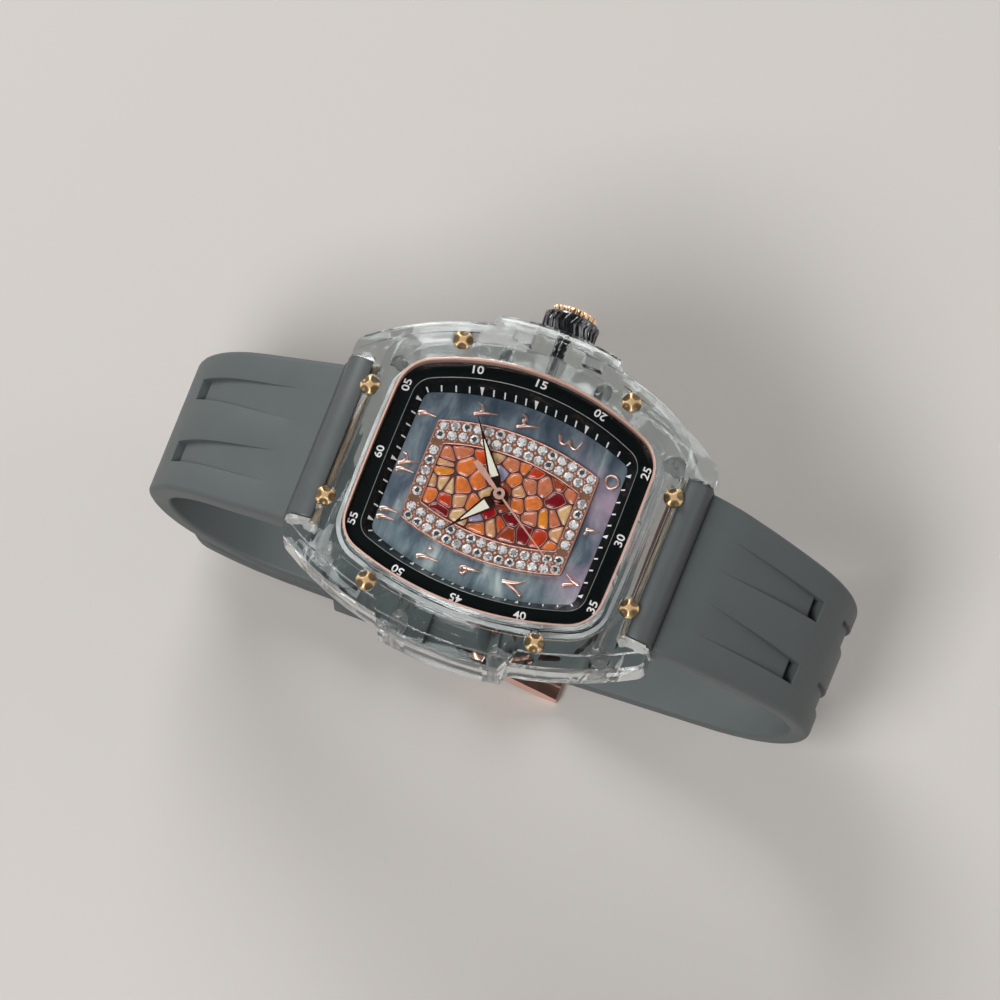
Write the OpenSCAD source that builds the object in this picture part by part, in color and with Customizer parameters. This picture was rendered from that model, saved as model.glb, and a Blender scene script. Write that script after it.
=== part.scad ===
// Quartz wristwatch: clear barrel-shaped case, jewelled dial, grey silicone strap closed in a loop.
// X runs to 3 o'clock and the crown, Y to 12 o'clock, Z up out of the dial.
// The watch stands on the buckle end of its closed strap, at Z = 0.

/* [Case] */
// Height of the dial face above the ground the strap stands on
dial_height = 51; // [50.5:0.5:54]
// Length of the case from lug end to lug end
case_length = 50.3; // [49.8:0.1:52]
// Width of the barrel outline, without its side shoulders
case_width = 43.0; // [42:0.1:44]
// Radius of the long curved sides, seen from above
case_side_r = 44; // [41:0.5:47]
// Radius of the arch of the front, from lug end to lug end
front_arch_r = 62; // [58:1:75]
// Radius of the hollow arch of the underside
under_arch_r = 90; // [80:1:120]
// Height of the outer front edge above the dial face, at the middle
edge_rise = 3.85; // [3.5:0.05:4.2]
// Height of the front shelf above the dial face
shelf_rise = 4.9; // [4.7:0.05:5.1]
// Height of the raised rim round the glass above the dial face
rim_rise = 5.3; // [5.2:0.05:5.6]
// Width of the raised rim round the glass
rim_width = 1.9; // [1.5:0.1:2.2]
// Step in from the outer edge up to the front shelf
ledge_width = 1.6; // [1.2:0.1:1.9]
// Height of the joint between bezel and middle case above the dial face
split_rise = 1.6; // [1.4:0.05:1.9]
// Depth of the middle case below the dial face
case_depth = 4.45; // [4.3:0.05:4.8]
// How far the side shoulders stand out
shoulder_out = 1.2; // [0.6:0.1:1.5]
// Half the length of a side shoulder
shoulder_half = 7.5; // [7:0.1:9]
// Thickness of the clear back
back_thick = 2.3; // [2.1:0.1:2.6]

/* [Glass and ring] */
// Half width of the opening under the glass
ring_half_w = 16.0; // [15.8:0.05:16.2]
// Distance from the lug end of the case to the opening under the glass
ring_end_gap = 7.55; // [7.35:0.05:7.75]
// Radius of the long sides of the opening
ring_side_r = 39; // [38:0.5:44]
// Radius of the corners of the opening
ring_corner_r = 4.8; // [4:0.1:5.5]
// Thickness of the rose-gold ring
gold_wall = 0.3; // [0.2:0.05:0.4]
// Height of the flat numbered ring above the dial face
numbered_rise = 3.6; // [3.3:0.05:3.9]
// Width of the flat numbered ring
numbered_width = 2.05; // [1.8:0.05:2.3]
// Width of the slope from the numbered ring down to the dial
slope_width = 1.4; // [1.2:0.05:1.6]
// Thickness of the glass
glass_thick = 1.25; // [1:0.05:1.4]

/* [Dial] */
// Thickness of the dial
dial_thick = 0.4; // [0.3:0.05:0.5]
// Distance from the end of the opening under the glass to the stone-set frame
frame_end_gap = 6.45; // [6.2:0.05:7]
// Half width of the stone-set frame at its middle
frame_half_w = 8.7; // [8.4:0.05:9]
// Width of the stone-set frame at its ends
frame_end_width = 1.85; // [1.65:0.05:2.1]
// Half width of the opening in the frame at its middle
window_half_w = 5.6; // [5.4:0.05:5.8]
// Height of the stone-set frame above the dial
frame_rise = 0.55; // [0.4:0.05:0.7]
// Diameter of one stone
stone_d = 1.2; // [0.9:0.05:1.2]
// Height of the applied hour numerals above the dial
numeral_rise = 0.3; // [0.2:0.05:0.5]

/* [Hands] */
// Length of the hour hand
hour_len = 8.3; // [7.5:0.1:9]
// Length of the minute hand
minute_len = 10.9; // [10:0.1:11.3]
// Length of the second hand
second_len = 12.4; // [11:0.1:12.6]
// Length of the second hand's tail
tail_len = 5.3; // [4:0.1:6]
// Width of the hour hand at its widest
hour_width = 1.9; // [1.6:0.1:2.2]
// Width of the minute hand at its widest
minute_width = 1.6; // [1.3:0.1:1.9]
// Thickness of the hands
hand_thick = 0.22; // [0.15:0.01:0.28]

/* [Movement] */
// Radius of the main plate
plate_r = 11.4; // [11.2:0.1:11.8]
// Depth of the movement below the dial face
movement_depth = 5.0; // [4.9:0.05:5.1]
// Distance from the centre to the third wheel
third_offset = 4.0; // [3.9:0.05:4.1]
// Distance from the centre to the intermediate wheel
fifth_offset = 3.84; // [3.7:0.02:3.9]
// Distance from the centre to the minute wheel
minute_wheel_offset = 2.4; // [2.3:0.05:2.5]
// Radius of the button cell
battery_r = 3.4; // [3.1:0.1:3.4]
// Thickness of the button cell
battery_h = 2.1; // [1.8:0.1:2.2]

/* [Crown] */
// Radius of the crown over its tread
crown_r = 3.7; // [3.3:0.1:4]
// Length of the crown's tread
crown_len = 2.7; // [2.4:0.1:3.2]
// Number of chevron teeth round the crown
crown_teeth = 22; // [16:1:26]
// Depth of the chevron teeth
tooth_depth = 0.35; // [0.2:0.05:0.5]
// Radius of the rose-gold crown cap
cap_r = 2.95; // [2.6:0.05:3.1]
// Radius of the crown's stem
stem_r = 0.42; // [0.38:0.02:0.5]
// How far the crown pulls out to set the hands
crown_pull = 1.2; // [0.8:0.1:1.3]

/* [Screws] */
// Diameter of the heads of the bezel screws
screw_head_d = 2.6; // [2.2:0.1:2.8]
// Radius of the shanks of the bezel screws
shank_r = 0.4; // [0.35:0.01:0.42]
// Distance of the side screws from the middle line
side_screw_x = 17.05; // [16.9:0.05:17.2]
// Distance of the side screws towards 12 and 6 o'clock
side_screw_y = 11.6; // [11:0.1:12]
// Distance of the end screws from the middle line
end_screw_x = 7.85; // [7:0.1:9]
// Radius of the rose-gold clamp bars at the case ends
clamp_bar_r = 0.65; // [0.6:0.01:0.7]

/* [Strap] */
// Width of the strap where it leaves the case
strap_wide = 22.4; // [21.6:0.1:22.6]
// Width of the strap round the wrist and at the buckle
strap_narrow = 17.8; // [17:0.1:18.4]
// Thickness of the strap at the case
strap_thick = 4.2; // [3.8:0.1:4.4]
// Thickness of the buckle half near the buckle
short_thick = 3.0; // [2.8:0.1:3.2]
// Thickness of the tail of the long half
tail_thick = 2.6; // [2.4:0.1:2.8]
// Radius of the half-round ridge at each strap end
ridge_r = 2.5; // [2.3:0.05:2.6]
// Depth of the slot at the square end of each long groove
groove_deep = 1.8; // [1.2:0.1:2]
// Depth of the long grooves beside that slot
groove_floor = 0.8; // [0.5:0.05:1]
// Length of that slot
slot_long = 1.4; // [1.2:0.05:1.6]
// Distance between the centre lines of the two grooves
groove_pitch = 8.8; // [8:0.1:9.4]
// Number of buckle holes in the tail
hole_count = 5; // [3:1:5]
// Distance between buckle holes
hole_pitch = 7; // [6:0.5:7.5]

/* [Buckle] */
// Distance of the buckle's bar from the middle of the watch, towards 12 o'clock
bar_y = 2.0; // [1.5:0.1:2.5]
// Radius of the buckle's bar
bar_r = 0.75; // [0.65:0.05:0.8]
// Distance from the bar to the far edge of the frame
frame_reach = 12.4; // [12:0.1:13]
// Thickness of the keeper loops
keeper_wall = 1.0; // [0.8:0.05:1.1]
// Width of the keeper loops along the strap
keeper_len = 5; // [4:0.2:5.4]
// How far the loose keeper slides each way
keeper_travel = 3; // [1:0.5:3]

/* [Hidden] */

gap = 0.03;
running = 0.05;
big = 200;
fine = 64;

// Where the case parts lie
half_l = case_length / 2;
half_w = case_width / 2;
ring_half_l = half_l - ring_end_gap;
frame_half_l = ring_half_l - frame_end_gap;
window_half_l = frame_half_l - frame_end_width;
lug_corner_r = 1.8;
slot_half = strap_wide / 2 + 0.2;
slot_y = half_l - 3.6;
end_screw_y = slot_y - 0.63;
bar_z = split_rise - front_drop(end_screw_y) - clamp_bar_r - 0.1;
lip_top = bar_z - clamp_bar_r - gap;
lip_thick = 2.6;
undercut_y = end_screw_y - clamp_bar_r - 0.3;
holder_in = 1.4;
stem_z = -1.6;
tube_r = 0.95;
tube_in = half_w - 1.8;
tube_out = half_w + shoulder_out + 0.2;
crown_base = tube_out + 0.25;
tread_r = crown_r - tooth_depth;
back_screw_corner = [half_w - 8.6, half_l - 7.3];
back_screw_side = [half_w - 3.2, 6.4];

// How far an arch has dropped at distance y from its crest
function front_drop(y) = front_arch_r - sqrt(front_arch_r * front_arch_r - y * y);
function under_drop(y) = under_arch_r - sqrt(under_arch_r * under_arch_r - y * y);

// Points along an arc
function arc_points(c, r, a0, a1, n) =
    [for (i = [0:n]) let (a = a0 + (a1 - a0) * i / n) [c[0] + r * cos(a), c[1] + r * sin(a)]];

// All but the first point of a list
function rest(list) = [for (i = [1:len(list) - 1]) list[i]];

// Barrel outline: long sides of radius side, ends of radius end, corners blended between them.
// The corner's centre lies where circles drawn inside both arcs cross.
function barrel(hw, hl, side, end, corner) =
    let (c1 = [hw - side, 0], c2 = [0, hl - end], r1 = side - corner, r2 = end - corner)
    let (span = norm(c2 - c1), e = (c2 - c1) / span)
    let (a = (r1 * r1 - r2 * r2 + span * span) / (2 * span), h = sqrt(r1 * r1 - a * a))
    let (p1 = c1 + a * e + h * [-e[1], e[0]], p2 = c1 + a * e - h * [-e[1], e[0]])
    let (p = p1[0] > 0 && p1[1] > 0 ? p1 : p2)
    let (t1 = atan2(p[1], p[0] - c1[0]), t2 = atan2(p[1] - c2[1], p[0]))
    let (q = concat(arc_points(c1, side, 0, t1, 9), rest(arc_points(p, corner, t1, t2, 7)),
                    rest(arc_points(c2, end, t2, 90, 3))))
    let (n = len(q))
    concat(q, [for (i = [n - 2:-1:0]) [-q[i][0], q[i][1]]],
           [for (i = [1:n - 1]) [-q[i][0], -q[i][1]]],
           [for (i = [n - 2:-1:1]) [q[i][0], -q[i][1]]]);

// The barrel outline round the glass, moved outwards by d
function ring_outline(d) =
    barrel(ring_half_w + d, ring_half_l + d, ring_side_r + d, 300, ring_corner_r + d);

module slab(points, z0, z1) {
    translate([0, 0, z0])
        linear_extrude(z1 - z0)
            polygon(points);
}

// Everything below an arch whose crest is at height rise over the dial face
module below_front(rise) {
    translate([0, 0, dial_height + rise - front_arch_r])
        rotate([0, 90, 0])
            cylinder(r = front_arch_r, h = big, center = true, $fn = 240);
}

module below_under(depth) {
    translate([0, 0, dial_height - depth - under_arch_r])
        rotate([0, 90, 0])
            cylinder(r = under_arch_r, h = big, center = true, $fn = 300);
}

module rod_x(r, x0, x1, y, z, sides = fine) {
    translate([x0, y, z])
        rotate([0, 90, 0])
            cylinder(r = r, h = x1 - x0, $fn = sides);
}

module block(low, high) {
    translate(low)
        cube(high - low);
}

module up_to_dial() {
    translate([0, 0, dial_height])
        children();
}

// Outline of the case with its two shoulders, moved inwards by d
module case_outline(d = 0) {
    w = half_w - d;
    polygon(barrel(w, half_l - d / 4, case_side_r - d, 400, lug_corner_r));
    intersection() {
        polygon(barrel(w + shoulder_out, half_l, case_side_r - d + shoulder_out, 400, 1));
        polygon([[-half_w - 6, -shoulder_half + 2], [-half_w + 4, -shoulder_half - 3],
                 [half_w - 4, -shoulder_half - 3], [half_w + 6, -shoulder_half + 2],
                 [half_w + 6, shoulder_half - 2], [half_w - 4, shoulder_half + 3],
                 [-half_w + 4, shoulder_half + 3], [-half_w - 6, shoulder_half - 2]]);
    }
}

module at_bezel_screws() {
    for (sx = [-1, 1], sy = [-1, 1]) {
        translate([sx * side_screw_x, sy * side_screw_y, dial_height + side_screw_z])
            children();
        translate([sx * end_screw_x, sy * end_screw_y, dial_height + end_screw_z])
            children();
    }
}

side_screw_z = shelf_rise - front_drop(side_screw_y) - 0.75;
end_screw_z = shelf_rise - front_drop(end_screw_y) - 0.75;
shank_len = end_screw_z - (bar_z - clamp_bar_r);

module at_back_screws() {
    for (sx = [-1, 1], sy = [-1, 1], p = [back_screw_corner, back_screw_side])
        translate([sx * p[0], sy * p[1], dial_height - case_depth - back_thick - under_drop(p[1])])
            children();
}

// Room for one strap end, open to the lug end of the case
module strap_slot() {
    for (s = [0, 1])
        mirror([0, s, 0]) {
            block([-slot_half, slot_y, dial_height - 20], [slot_half, half_l + 5, dial_height + 10]);
            block([-slot_half, undercut_y, dial_height - 20],
                  [slot_half, slot_y + 1, dial_height + lip_top + gap]);
            rod_x(clamp_bar_r + gap, -slot_half, slot_half, end_screw_y, dial_height + bar_z);
            block([-slot_half, end_screw_y, dial_height + bar_z - clamp_bar_r],
                  [slot_half, slot_y + 1, dial_height + bar_z + clamp_bar_r]);
        }
}

module case_band() color([0.9, 0.93, 0.94, 0.4]) {
    difference() {
        intersection() {
            translate([0, 0, dial_height - 12])
                linear_extrude(24)
                    case_outline();
            below_front(split_rise - gap);
        }
        below_under(case_depth);
        slab(ring_outline(gap), dial_height - dial_thick - gap, dial_height + 10);
        slab(ring_outline(-holder_in), dial_height - 20, dial_height + 1);
        strap_slot();
        rod_x(tube_r, tube_in, half_w + 5, 0, dial_height + stem_z);
        rod_x(0.7, 10, half_w + 5, 0, dial_height + stem_z);
        crown_windows();
        at_bezel_screws()
            translate([0, 0, -shank_len])
                cylinder(r = shank_r + gap, h = 9, $fn = 32);
        at_back_screws()
            cylinder(r = shank_r + gap, h = 5, $fn = 32);
        bezel_groove(0);
    }
}

// Two square pockets beside the crown's tube, closed by the bezel
module crown_windows() {
    for (s = [-1, 1])
        block([half_w - 1.7, s * 4.7 - 1.3, dial_height - 2.4],
              [half_w - 0.2, s * 4.7 + 1.3, dial_height + 10]);
}

module bezel_groove(shrink) {
    difference() {
        slab(ring_outline(1.0 - shrink), dial_height - 8, dial_height + 10);
        slab(ring_outline(0.5 + shrink), dial_height - 9, dial_height + 11);
        below_front(split_rise - 0.5 + shrink);
    }
}

module bezel() color([0.93, 0.95, 0.96, 0.35]) {
    difference() {
        union() {
            intersection() {
                translate([0, 0, dial_height - 12])
                    linear_extrude(24)
                        case_outline();
                below_front(edge_rise);
            }
            intersection() {
                translate([0, 0, dial_height - 12])
                    linear_extrude(24)
                        case_outline(ledge_width);
                below_front(shelf_rise);
            }
            intersection() {
                slab(ring_outline(gold_wall + rim_width), dial_height - 12, dial_height + 12);
                below_front(rim_rise);
            }
        }
        below_front(split_rise);
        slab(ring_outline(gold_wall + gap), dial_height - 14, dial_height + 14);
        for (s = [0, 1])
            mirror([0, s, 0])
                block([-slot_half, slot_y, dial_height - 20], [slot_half, half_l + 5, dial_height + 10]);
        at_bezel_screws() {
            translate([0, 0, -9])
                cylinder(r = shank_r + gap, h = 12, $fn = 32);
            cylinder(r = screw_head_d / 2 + 0.1, h = 5, $fn = fine);
        }
    }
}

module case_back() color([0.88, 0.9, 0.92, 0.4]) {
    difference() {
        intersection() {
            slab(barrel(half_w - 1.4, half_l - 4.3, case_side_r - 1.4, 300, 4), dial_height - 20, dial_height);
            below_under(case_depth + gap);
        }
        below_under(case_depth + back_thick);
        slab(ring_outline(-holder_in - 0.2), dial_height - movement_depth - 0.25, dial_height);
        difference() {
            slab(ring_outline(-holder_in + 0.8), dial_height - 20, dial_height);
            slab(ring_outline(-holder_in + 0.3), dial_height - 21, dial_height + 1);
            below_under(case_depth + 0.5);
        }
        at_back_screws() {
            translate([0, 0, -1])
                cylinder(r = 1.15, h = 1.9, $fn = 40);
            cylinder(r = shank_r + gap, h = 5, $fn = 32);
        }
    }
}

module back_gasket() color("dimgray") {
    difference() {
        intersection() {
            slab(ring_outline(-holder_in + 0.8 - gap), dial_height - 20, dial_height);
            below_under(case_depth + gap);
        }
        slab(ring_outline(-holder_in + 0.3 + gap), dial_height - 21, dial_height + 1);
        below_under(case_depth + 0.5 - gap);
    }
}

module bezel_gasket() color("whitesmoke") {
    intersection() {
        bezel_groove(gap);
        below_front(split_rise - gap);
    }
}

module crystal() color([0.8, 0.9, 0.95, 0.3]) {
    difference() {
        intersection() {
            slab(ring_outline(-gap), dial_height - 5, dial_height + 10);
            below_front(numbered_rise + 0.05 + glass_thick);
        }
        below_front(numbered_rise + 0.05);
    }
}

module crystal_ring() color([0.85, 0.62, 0.52]) {
    difference() {
        intersection() {
            slab(ring_outline(gold_wall), dial_height - 8, dial_height + 10);
            below_front(numbered_rise + glass_thick + 0.15);
        }
        slab(ring_outline(0), dial_height - 9, dial_height + 11);
        below_front(split_rise);
    }
}

// Ring of points: the glass outline moved by d, at a height over the dial that follows the arch
function arch_ring(d, rise) =
    [for (p = ring_outline(d)) [p[0], p[1], dial_height + rise - front_drop(p[1])]];
function flat_ring(d, z) = [for (p = ring_outline(d)) [p[0], p[1], dial_height + z]];

// Closed tube of quads through a loop of equal rings, each face split in two triangles
module ring_loft(rings) {
    n = len(rings[0]);
    m = len(rings);
    points = [for (r = rings, p = r) p];
    faces = [for (j = [0:m - 1], i = [0:n - 1])
        let (a = j * n + i, b = j * n + (i + 1) % n)
        let (c = ((j + 1) % m) * n + (i + 1) % n, d = ((j + 1) % m) * n + i)
        each [[a, b, c], [a, c, d]]];
    polyhedron(points, faces);
}

// Numbered ring with its slope down to the dial
module chapter_ring() color([0.06, 0.07, 0.07]) {
    ring_loft([
        flat_ring(-gap, gap),
        arch_ring(-gap, numbered_rise),
        arch_ring(-numbered_width, numbered_rise),
        flat_ring(-numbered_width - slope_width, gap)
    ]);
}

module dial() color([0.36, 0.42, 0.48]) {
    difference() {
        slab(ring_outline(-gap), dial_height - dial_thick, dial_height);
        translate([0, 0, dial_height - 2])
            cylinder(r = 1.15, h = 4, $fn = fine);
    }
}

// The hour numerals, upright, in the digits used with Arabic script; each is a list of strokes
function unit(v) = v / norm(v);
module stroke(points, width) {
    n = len(points);
    side = [for (i = [0:n - 1])
        let (t = unit(points[min(i + 1, n - 1)] - points[max(i - 1, 0)])) [-t[1], t[0]] * width / 2];
    slab(concat([for (i = [0:n - 1]) points[i] + side[i]],
                [for (i = [n - 1:-1:0]) points[i] - side[i]]),
         dial_height, dial_height + numeral_rise);
}

stem_2 = [[-0.9, 1.4], [-0.55, 0.65], [-0.15, -0.35], [0.15, -1.4]];
one = [[[-0.35, 1.35], [-0.02, 0.9], [0.14, 0.15], [0.12, -1.3]]];
two = [stem_2, [[-0.6, 0.75], [-0.05, 0.5], [0.6, 0.7], [0.85, 1.3]]];
three = [stem_2, [[-0.6, 0.75], [-0.2, 0.55], [0.12, 0.95], [0.5, 0.6], [0.95, 0.75], [1.1, 1.3]]];
four = [[[0.6, 1.5], [-0.4, 1.1], [-0.45, 0.45], [0.3, 0.1], [-0.55, -0.35], [-0.6, -1.05], [0.65, -1.4]]];
six = [[[-0.75, 0.85], [-0.2, 0.7], [0.15, 0.85], [0.25, 0.1], [0.45, -1.1]]];
seven = [[[-0.85, 1.15], [-0.35, 0.1], [0, -1.15], [0.3, 0.1], [0.85, 1.2]]];
eight = [[[-1.15, -1.4], [-0.5, -0.4], [0, 1.4], [0.45, -0.4], [1.15, -1.4]]];
nine = [[[0.38, 1.0], [0.42, 0], [0.55, -1.45]]];
nought = [[[-0.28, 0], [0.28, 0]]];
numerals = [
    [[7.1, 12.7], [[one, 0, 0.3]]], [[10.1, 5.75], [[two, 0, 0.3]]],
    [[10.45, 0], [[three, 0, 0.3]]], [[10.1, -5.75], [[four, 0, 0.32]]],
    [[0, -12.65], [[six, 0, 0.32]]],
    [[-7.1, -12.7], [[seven, 0, 0.3]]], [[-10.1, -5.75], [[eight, 0, 0.32]]],
    [[-10.45, 0], [[nine, 0, 0.32]]], [[-10.1, 5.75], [[one, -0.6, 0.3], [nought, 0.75, 0.52]]],
    [[-7.1, 12.7], [[one, -0.5, 0.3], [one, 0.55, 0.3]]],
    [[0, 12.7], [[one, -0.85, 0.3], [two, 0.55, 0.3]]]
];

// The numerals stand at even shares of the dial's length
numeral_spread = (ring_half_l - 4.9) / 12.7;

module hour_numerals() color([0.85, 0.6, 0.48]) {
    for (numeral = numerals, glyph = numeral[1], line = glyph[0])
        translate([numeral[0][0] + glyph[1], numeral[0][1] * numeral_spread, 0])
            scale([0.9, abs(numeral[0][1]) > 10 ? 0.86 : 1.04, 1])
                stroke(line, glyph[2]);
    translate([7.1, -12.7 * numeral_spread, 0])
        loop(1.02, 0.3);
    translate([-10.5, 0.95, 0])
        loop(0.6, 0.3);
}

// Round bowl of a digit
module loop(r, width) {
    difference() {
        arbor(r, 0, numeral_rise);
        arbor(r - width, -1, 1);
    }
}

// Radius of the curved side of the frame, from its half width and the narrower width at its ends
function bulge_r(hl, hw, hw_end) = (hl * hl + (hw - hw_end) * (hw - hw_end)) / (2 * (hw - hw_end));
frame_side_r = bulge_r(frame_half_l, frame_half_w, frame_half_w - 1.9);
window_side_r = bulge_r(window_half_l, window_half_w, window_half_w - 1.55);
function frame_outline(d) =
    barrel(frame_half_w + d, frame_half_l + d, frame_side_r + d, 300, 0.35);
function window_outline(d) =
    barrel(window_half_w + d, window_half_l + d, window_side_r + d, 300, 0.35);

// Half widths of the frame and of its window at distance y from the middle
function frame_x(y) = frame_half_w - frame_side_r + sqrt(frame_side_r * frame_side_r - y * y);
function window_x(y) = window_half_w - window_side_r + sqrt(window_side_r * window_side_r - y * y);

// Places of the stones: two rows along each long side and one row across each end
stone_pitch = stone_d + 0.25;
side_stones = floor((2 * frame_half_l - 1.9) / stone_pitch) + 1;
end_stones = floor(2 * (window_x(window_half_l) - 0.7) / stone_pitch) + 1;
side_places = [for (i = [0:side_stones - 1], row = [0.27, 0.73], s = [-1, 1])
    let (y = (i - (side_stones - 1) / 2) * stone_pitch)
    [s * (window_x(y * window_half_l / frame_half_l) * (1 - row) + frame_x(y) * row), y]];
end_places = [for (i = [0:end_stones - 1], s = [-1, 1])
    [(i - (end_stones - 1) / 2) * stone_pitch, s * (window_half_l + frame_half_l) / 2]];
stone_places = concat(side_places, end_places);

module gem_frame() color([0.86, 0.62, 0.5]) {
    difference() {
        slab(frame_outline(0), dial_height, dial_height + frame_rise);
        slab(window_outline(0), dial_height - 1, dial_height + 2);
        for (p = stone_places)
            translate([p[0], p[1], dial_height + frame_rise - 0.25])
                cylinder(d = stone_d + gap, h = 1, $fn = 16);
    }
}

module gems() color("white") {
    for (p = stone_places)
        translate([p[0], p[1], dial_height + frame_rise - 0.25]) {
            cylinder(d = stone_d - gap, h = 0.25, $fn = 16);
            translate([0, 0, 0.25])
                cylinder(d1 = stone_d - gap, d2 = stone_d * 0.6, h = 0.2, $fn = 16);
        }
}

module mosaic_plate() color([0.8, 0.4, 0.25]) {
    difference() {
        slab(window_outline(-gap), dial_height, dial_height + frame_rise - 0.15);
        translate([0, 0, dial_height - 1])
            cylinder(r = 1.15, h = 4, $fn = fine);
    }
}

// The hands, each pointing to 12 before it is turned to its time
hour_turn = -307.5;
minute_turn = -54;
second_turn = -214;
hour_z = 1.15;
minute_z = 1.75;
second_z = 2.35;
second_pipe = 0.2;
minute_pipe = 0.5;
hour_pipe = 0.85;

// A hand's outline: widest a fifth of the way out, drawn in to a fine point
function hand_points(len, width) =
    [[width * 0.28, 0.6], [width / 2, len * 0.22], [0.12, len * 0.8], [0.05, len],
     [-0.05, len], [-0.12, len * 0.8], [-width / 2, len * 0.22], [-width * 0.28, 0.6]];
function lume_points(len, width, d) =
    [[width * 0.34 + d, len * 0.23 - d], [0.04 + d, len * 0.7], [-0.04 - d, len * 0.7],
     [-width * 0.34 - d, len * 0.23 - d]];

module pointer(len, width, hub, bore, z) {
    difference() {
        union() {
            slab(hand_points(len, width), dial_height + z, dial_height + z + hand_thick);
            translate([0, 0, dial_height + z])
                cylinder(r = hub, h = hand_thick, $fn = fine);
        }
        slab(lume_points(len, width, 0.02), dial_height + z + 0.06, dial_height + z + 1);
        translate([0, 0, dial_height + z - 1])
            cylinder(r = bore, h = 3, $fn = fine);
    }
}

module hour_hand() color([0.8, 0.55, 0.45])
    rotate([0, 0, hour_turn])
        pointer(hour_len, hour_width, 1.2, hour_pipe, hour_z);

module minute_hand() color([0.8, 0.55, 0.45])
    rotate([0, 0, minute_turn])
        pointer(minute_len, minute_width, 1.05, minute_pipe, minute_z);

module hour_lume() color("ivory")
    rotate([0, 0, hour_turn])
        slab(lume_points(hour_len, hour_width, 0), dial_height + hour_z + 0.06,
             dial_height + hour_z + hand_thick - 0.02);

module minute_lume() color("ivory")
    rotate([0, 0, minute_turn])
        slab(lume_points(minute_len, minute_width, 0), dial_height + minute_z + 0.06,
             dial_height + minute_z + hand_thick - 0.02);

module second_hand() color([0.85, 0.6, 0.5])
    rotate([0, 0, second_turn])
        difference() {
            union() {
                slab([[0.14, 0], [0.05, second_len], [-0.05, second_len], [-0.14, 0],
                      [-0.42, -tail_len * 0.75], [-0.3, -tail_len], [0.3, -tail_len],
                      [0.42, -tail_len * 0.75]],
                     dial_height + second_z, dial_height + second_z + 0.18);
                translate([0, 0, dial_height + second_z - 0.1])
                    cylinder(r = 0.75, h = 0.4, $fn = fine);
            }
            translate([0, 0, dial_height + second_z - 1])
                cylinder(r = second_pipe, h = 1.2, $fn = fine);
        }

// Gear outline: trapezoid teeth of module m, thinner than the pitch so that they run free
function gear_points(teeth, m, phase) =
    let (root = m * (teeth / 2 - 1.1), tip = m * (teeth / 2 + 0.8), w = 68 / teeth)
    [for (i = [0:teeth - 1], k = [0:3])
        let (a = phase + 360 * i / teeth + [-1.3, -0.45, 0.45, 1.3][k] * w)
        let (r = k == 0 || k == 3 ? root : tip)
        [r * cos(a), r * sin(a)]];

module gear(teeth, m, z0, z1, phase) {
    slab(gear_points(teeth, m, phase), dial_height + z0, dial_height + z1);
}

module arbor(r, z0, z1) {
    translate([0, 0, dial_height + z0])
        cylinder(r = r, h = z1 - z0, $fn = 40);
}

// Layout of the train, seen from the dial
plate_top = -1.05;
plate_low = -2.6;
bridge_top = -movement_depth + 0.45;
third_dir = 200;
fifth_dir = 80;
rotor_dir = 150;
minute_wheel_dir = 300;
third_at = third_offset * [cos(third_dir), sin(third_dir)];
fifth_at = fifth_offset * [cos(fifth_dir), sin(fifth_dir)];
rotor_offset = 2.52;
rotor_at = fifth_at + rotor_offset * [cos(rotor_dir), sin(rotor_dir)];
minute_wheel_at = minute_wheel_offset * [cos(minute_wheel_dir), sin(minute_wheel_dir)];
battery_at = [5.25, -5.3];
pillars = [[5.15, -0.75], [-5.4, 4.5], [-0.6, -5.5]];
coil_y = 8.7;

// Modules of the teeth, so that each pair of wheels meets at its distance
seconds_third_m = 2 * third_offset / (8 + 60);
third_centre_m = 2 * third_offset / (8 + 64);
fifth_seconds_m = 2 * fifth_offset / (8 + 40);
rotor_fifth_m = 2 * rotor_offset / (6 + 36);
cannon_minute_m = 2 * minute_wheel_offset / (12 + 36);
minute_hour_m = 2 * minute_wheel_offset / (10 + 40);

module hour_wheel() color("gold")
    difference() {
        union() {
            gear(40, minute_hour_m, -0.75, -0.5, minute_wheel_dir);
            arbor(hour_pipe, -0.75, hour_z + hand_thick);
        }
        arbor(minute_pipe + running, -2, 3);
    }

module centre_wheel() color("gold")
    difference() {
        union() {
            gear(64, third_centre_m, -2.95, -2.75, third_dir);
            gear(12, cannon_minute_m, -1.02, -0.82, minute_wheel_dir);
            arbor(minute_pipe, -2.95, minute_z + hand_thick);
        }
        arbor(second_pipe + running, -4, 3);
    }

module seconds_wheel() color("gold") {
    gear(40, fifth_seconds_m, -3.95, -3.75, fifth_dir);
    gear(8, seconds_third_m, -3.6, -3.2, third_dir);
    arbor(second_pipe, bridge_top - 0.3, second_z + 0.15);
    arbor(0.3, -3.95, -3.2);
}

module third_wheel() color("gold")
    translate([third_at[0], third_at[1], 0]) {
        gear(60, seconds_third_m, -3.5, -3.3, third_dir + 180 + 3);
        gear(8, third_centre_m, -3.1, -2.68, third_dir + 180 + 22.5);
        arbor(0.15, bridge_top - 0.3, plate_low + 0.4);
    }

module fifth_wheel() color("gold")
    translate([fifth_at[0], fifth_at[1], 0]) {
        gear(36, rotor_fifth_m, -3.6, -3.42, rotor_dir);
        gear(8, fifth_seconds_m, -4.05, -3.65, fifth_dir + 180 + 22.5);
        arbor(0.15, bridge_top - 0.3, plate_low + 0.4);
    }

module rotor() color("dimgray")
    translate([rotor_at[0], rotor_at[1], 0]) {
        gear(6, rotor_fifth_m, -3.7, -3.35, rotor_dir + 180 + 30);
        arbor(0.75, -4.4, -3.8);
        arbor(0.15, bridge_top - 0.3, plate_low + 0.4);
    }

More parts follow.
